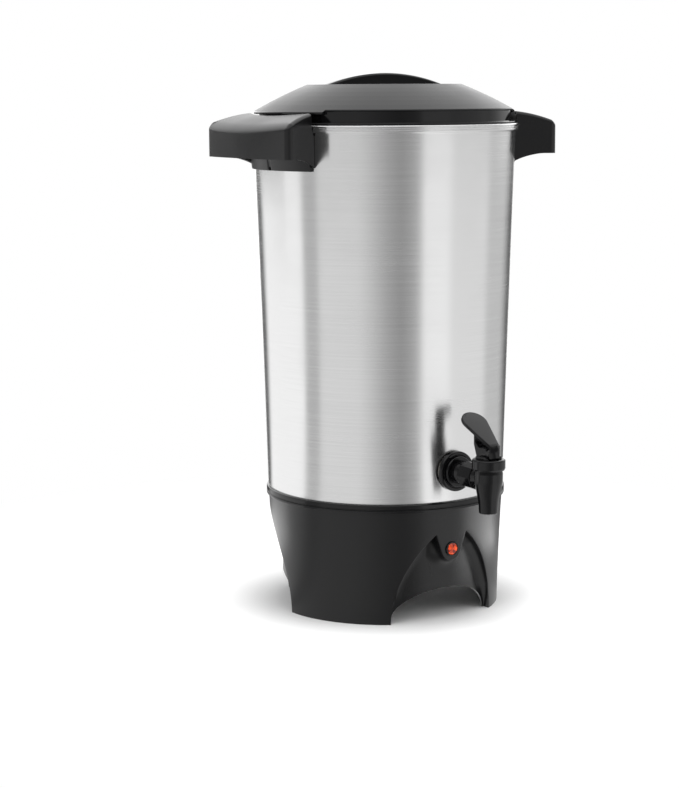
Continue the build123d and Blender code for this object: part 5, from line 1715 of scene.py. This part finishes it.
@dataclass
class Studio:
    """White floor and world, soft lamps, and what only gloss sees: a tent of pale and grey cloth, and
    a black card beside the left handle. Two bright strips on the floor light the base alone.

    bands gives the tent's brightness at bearings from the camera, positive to the right. sky is its
    brightness above them in front and behind, ceiling that of its top. Spans are in metres: sky_span
    and ceiling_span of height, and glow_span and painted_shadow_span of distance from the urn. Nearer the
    urn than the latter span the floor's paint loses its glow: a painted shadow laid over the urn's real
    one.
    """

    view: View
    tent_r: float = 2200.0
    tent_height: float = 3200.0
    sky: tuple[float, float] = (0.25, 1.9)
    ceiling: float = 1.5
    sky_span: tuple[float, float] = (0.3, 0.7)
    ceiling_span: tuple[float, float] = (1.0, 2.6)
    glow_span: tuple[float, float] = (0.2, 0.6)
    painted_shadow_span: tuple[float, float] = (0.09, 0.16)
    glow_past_painted_shadow: float = 0.4
    world_light: float = 0.55
    flag_r: float = 900.0
    flag_half: tuple[float, float] = (330.0, 45.0)
    flag_bearing: float = 122.5
    flag_z: float = 392.0
    strip_size: tuple[float, float] = (0.26, 0.16)
    aim_z: float = 0.2
    white: Colour = (1.0, 1.0, 1.0, 1.0)
    bands: tuple[tuple[float, float], ...] = (
        (-180, 2.2), (-168, 2.2), (-158, 0.12), (-146, 0.12), (-136, 1.1), (-80, 1.15), (-76, 0.55),
        (-64, 0.55), (-60, 0.84), (-24, 0.82), (-12, 0.66), (0, 0.46), (13, 0.33), (24, 0.45), (29, 0.6),
        (34, 1.08), (55, 1.08), (62, 0.9), (98, 0.88), (106, 0.64), (130, 0.6), (140, 0.34), (148, 0.12),
        (160, 0.12), (170, 2.2),
    )

    def banded(self, tree: bpy.types.NodeTree, place: bpy.types.NodeSocket) -> bpy.types.NodeSocket:
        """Add the bands as a ramp over the bearing, atan2(y, x).

        Args:
            tree: Node tree to build in.
            place: Socket that gives the place on the tent or the floor.

        Returns:
            Socket that gives the brightness.
        """
        apart = add_node(tree, "ShaderNodeSeparateXYZ", links={0: place}).outputs
        angle = add_node(tree, "ShaderNodeMath", links={0: apart["Y"], 1: apart["X"]}, operation="ARCTAN2")
        turn = {"From Min": -math.pi, "From Max": math.pi}
        share = add_node(tree, "ShaderNodeMapRange", turn, {"Value": angle.outputs[0]})
        ramp = add_node(tree, "ShaderNodeValToRGB", links={"Fac": share.outputs[0]})
        facing = self.view.bearing - 90
        stops = sorted((((facing + bearing + 180) % 360) / 360, level) for bearing, level in self.bands)
        places, levels = np.array(stops).T
        seam = np.interp(0, [places[-1] - 1, places[0]], [levels[-1], levels[0]])
        elements = ramp.color_ramp.elements
        for element in elements:
            element.color = (seam, seam, seam, 1)
        for position, level in stops:
            elements.new(position).color = (level, level, level, 1)
        return ramp.outputs["Color"]

    def floor(self) -> None:
        """Lay the floor: white paint that turns into plain white light away from the urn.

        Gloss sees it lit in the bands instead. Close round the urn the paint gets no glow, so the floor
        there shows the urn's real shadow deepened by a painted one.
        """
        rings = np.concatenate([[0], np.geomspace(300, 60000, 24)])
        skin = Skin().add(turned(np.column_stack([rings, np.zeros(len(rings))]), 64), ring=True)
        floor = skin.build("studio_floor")
        material = empty_material("studio_floor_paint")
        tree = material.node_tree
        place = add_node(tree, "ShaderNodeTexCoord").outputs["Object"]
        length = add_node(tree, "ShaderNodeVectorMath", links={0: place}, operation="LENGTH")
        away = {"Value": length.outputs["Value"]}
        soft = {"interpolation_type": "SMOOTHSTEP"}
        near, far = self.glow_span
        share = add_node(tree, "ShaderNodeMapRange", {"From Min": near, "From Max": far}, away, **soft)
        # Painted shadow: the paint's glow is none close round the urn and rises to full over this span.
        near, far = self.painted_shadow_span
        span = {"From Min": near, "From Max": far, "To Max": self.glow_past_painted_shadow}
        glow_past_painted_shadow = add_node(tree, "ShaderNodeMapRange", span, away, **soft)
        look = {"Base Color": linear("#f4f4f4"), "Roughness": 0.9, "Specular IOR Level": 0.1}
        look["Emission Color"] = self.white
        strength = {"Emission Strength": glow_past_painted_shadow.outputs[0]}
        paint = add_node(tree, "ShaderNodeBsdfPrincipled", look, strength)
        glow = add_node(tree, "ShaderNodeEmission", {"Color": self.white, "Strength": 1.0})
        links = {0: share.outputs[0], 1: paint.outputs[0], 2: glow.outputs[0]}
        seen = add_node(tree, "ShaderNodeMixShader", links=links)
        bands = add_node(tree, "ShaderNodeEmission", {"Strength": 1.0}, {"Color": self.banded(tree, place)})
        glossy = add_node(tree, "ShaderNodeLightPath").outputs["Is Glossy Ray"]
        links = {0: glossy, 1: seen.outputs[0], 2: bands.outputs[0]}
        show(material, add_node(tree, "ShaderNodeMixShader", links=links))
        floor.data.materials.append(material)

    def tent(self) -> None:
        """Hang the tent: the floor's bands at its foot, and over them a sky that is brightest behind."""
        profile = [(self.tent_r, -5.0), (self.tent_r, self.tent_height), (0, self.tent_height)]
        tent = Skin().add(turned(profile, 180), ring=True).build("studio_tent")
        material = empty_material("studio_tent_cloth")
        tree = material.node_tree
        place = add_node(tree, "ShaderNodeTexCoord").outputs["Object"]
        turn = math.radians(self.view.bearing)
        rear = {1: (-math.sin(turn), math.cos(turn), 0)}
        behind = add_node(tree, "ShaderNodeVectorMath", rear, {0: place}, operation="DOT_PRODUCT")
        sky = add_node(
            tree,
            "ShaderNodeMapRange",
            {"From Max": self.tent_r * MM, "To Min": self.sky[0], "To Max": self.sky[1]},
            {"Value": behind.outputs["Value"]},
            interpolation_type="SMOOTHERSTEP",
        )
        height = add_node(tree, "ShaderNodeSeparateXYZ", links={0: place}).outputs["Z"]
        shares = []
        for low, high in (self.sky_span, self.ceiling_span):
            span = {"From Min": low, "From Max": high}
            step = add_node(
                tree, "ShaderNodeMapRange", span, {"Value": height}, interpolation_type="SMOOTHSTEP"
            )
            shares.append(step.outputs[0])
        above, at_ceiling = shares
        links = {0: at_ceiling, 2: sky.outputs[0]}
        level = add_node(tree, "ShaderNodeMix", {3: self.ceiling}, links, data_type="FLOAT")
        links = {0: above, 6: self.banded(tree, place), 7: level.outputs[0]}
        colour = add_node(tree, "ShaderNodeMix", links=links, data_type="RGBA")
        cloth = add_node(tree, "ShaderNodeEmission", {"Strength": 1.0}, {"Color": colour.outputs[2]})
        show(material, cloth)
        tent.data.materials.append(material)
        self.for_gloss_alone(tent)

    def for_gloss_alone(self, thing: bpy.types.Object) -> None:
        """Hide something from all rays but reflections.

        Args:
            thing: The tent or the card.
        """
        thing.visible_camera = False
        thing.visible_diffuse = False
        thing.visible_shadow = False
        thing.visible_transmission = False

    def world(self) -> None:
        """White world for the eye and for gloss, dimmer where it lights matt surfaces."""
        world = bpy.data.worlds.new("studio_world")
        world.use_nodes = True
        tree = world.node_tree
        tree.nodes.clear()
        path = add_node(tree, "ShaderNodeLightPath").outputs
        seen = path["Is Camera Ray"]
        for ray in ("Is Glossy Ray", "Is Transmission Ray"):
            links = {0: seen, 1: path[ray]}
            seen = add_node(tree, "ShaderNodeMath", links=links, operation="MAXIMUM").outputs[0]
        span = {"To Min": self.world_light, "To Max": 1.0}
        level = add_node(tree, "ShaderNodeMapRange", span, {"Value": seen})
        strength = {"Strength": level.outputs[0]}
        back = add_node(tree, "ShaderNodeBackground", {"Color": self.white}, strength)
        add_node(tree, "ShaderNodeOutputWorld", links={"Surface": back.outputs[0]})
        bpy.context.scene.world = world

    def lamp(self, name: str, place: tuple[float, float, float], size: float, power: float) -> None:
        """Hang a square soft lamp that faces the middle of the urn.

        Args:
            name: Name of the lamp.
            place: Where it hangs, in metres.
            size: Length of its sides, in metres.
            power: Its power, in watts.
        """
        data = bpy.data.lights.new(name, "AREA")
        data.shape = "SQUARE"
        data.size = size
        data.energy = power
        lamp = in_scene(name, data)
        lamp.location = place
        lamp.rotation_mode = "QUATERNION"
        lamp.rotation_quaternion = (Vector((0, 0, self.aim_z)) - Vector(place)).to_track_quat("-Z", "Y")
        lamp.visible_glossy = False

    def flag(self) -> None:
        """Hang a black card level with the left handle, where only gloss sees it."""
        half_y, half_z = self.flag_half
        y, z = np.meshgrid([-half_y, half_y], [-half_z, half_z])
        card = spun(np.stack([np.full_like(y, self.flag_r), y, z], axis=-1), self.flag_bearing)
        flag = Skin().add(shifted(card, z=self.flag_z)).build("studio_flag", smooth=False)
        material = empty_material("studio_flag_cloth")
        show(material, add_node(material.node_tree, "ShaderNodeBsdfDiffuse", {"Color": linear("#202020")}))
        flag.data.materials.append(material)
        self.for_gloss_alone(flag)

    def floor_strip(
        self, side: Side, place: tuple[float, float], turn: float, radiance: float
    ) -> bpy.types.Object:
        """Lay a bright strip on the floor, which the leaning skirt mirrors.

        Args:
            side: Side of the urn that it lies on.
            place: Its middle, in metres.
            turn: Bearing of its length from the X axis, in degrees.
            radiance: How bright it is beside the white floor.

        Returns:
            The lamp.
        """
        data = bpy.data.lights.new(f"floor_strip_{side.name.lower()}", "AREA")
        data.shape = "RECTANGLE"
        data.size, data.size_y = self.strip_size
        data.energy = radiance * math.pi * data.size * data.size_y
        strip = in_scene(data.name, data)
        strip.location = (*place, 0.003)
        strip.rotation_mode = "QUATERNION"
        face_up = Quaternion((1, 0, 0), math.pi)
        strip.rotation_quaternion = Quaternion((0, 0, 1), math.radians(turn)) @ face_up
        strip.visible_camera = False
        return strip

    def build(self, base: bpy.types.Object) -> None:
        """Set up the whole studio, with the floor strips lighting the base alone.

        Args:
            base: The base moulding.
        """
        lit = bpy.data.collections.new("lit_by_floor_strips")
        lit.objects.link(base)
        right = self.floor_strip(Side.RIGHT, (0.3, -0.15), 70, 4.0)
        left = self.floor_strip(Side.LEFT, (-0.13, 0.28), 15, 1.8)
        for strip in (right, left):
            strip.light_linking.receiver_collection = lit
        self.floor()
        self.tent()
        self.flag()
        self.world()
        self.lamp("top_lamp", (0.1, -0.2, 2.2), 1.6, 22.0)
        self.lamp("left_lamp", (-2.0, -0.6, 1.3), 1.2, 12.0)
        self.lamp("right_lamp", (1.3, -1.7, 1.2), 1.2, 9.0)
        bpy.context.scene.view_settings.view_transform = "Standard"


def main() -> None:
    """Load the frame, and build camera, studio and urn."""
    logging.basicConfig(level=logging.INFO, format="%(name)s: %(message)s")
    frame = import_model()
    view = View()
    view.build()
    vessel = Vessel()
    vessel.build()
    SeamRing(vessel).build()
    base = Base().build()
    Studio(view).build(base)
    for side in Side:
        Handle(vessel, side).build()
    Lid().build()
    ReadyLight().build()
    Tap().build()
    paddle = Fitting("tap_lever", "tap_lever_paddle", GLOSS_BLACK, Body.LEVER)
    for piece in (Lever(paddle), *FITTINGS):
        piece.build(frame["nodes"])


if __name__ == "__main__":
    main()
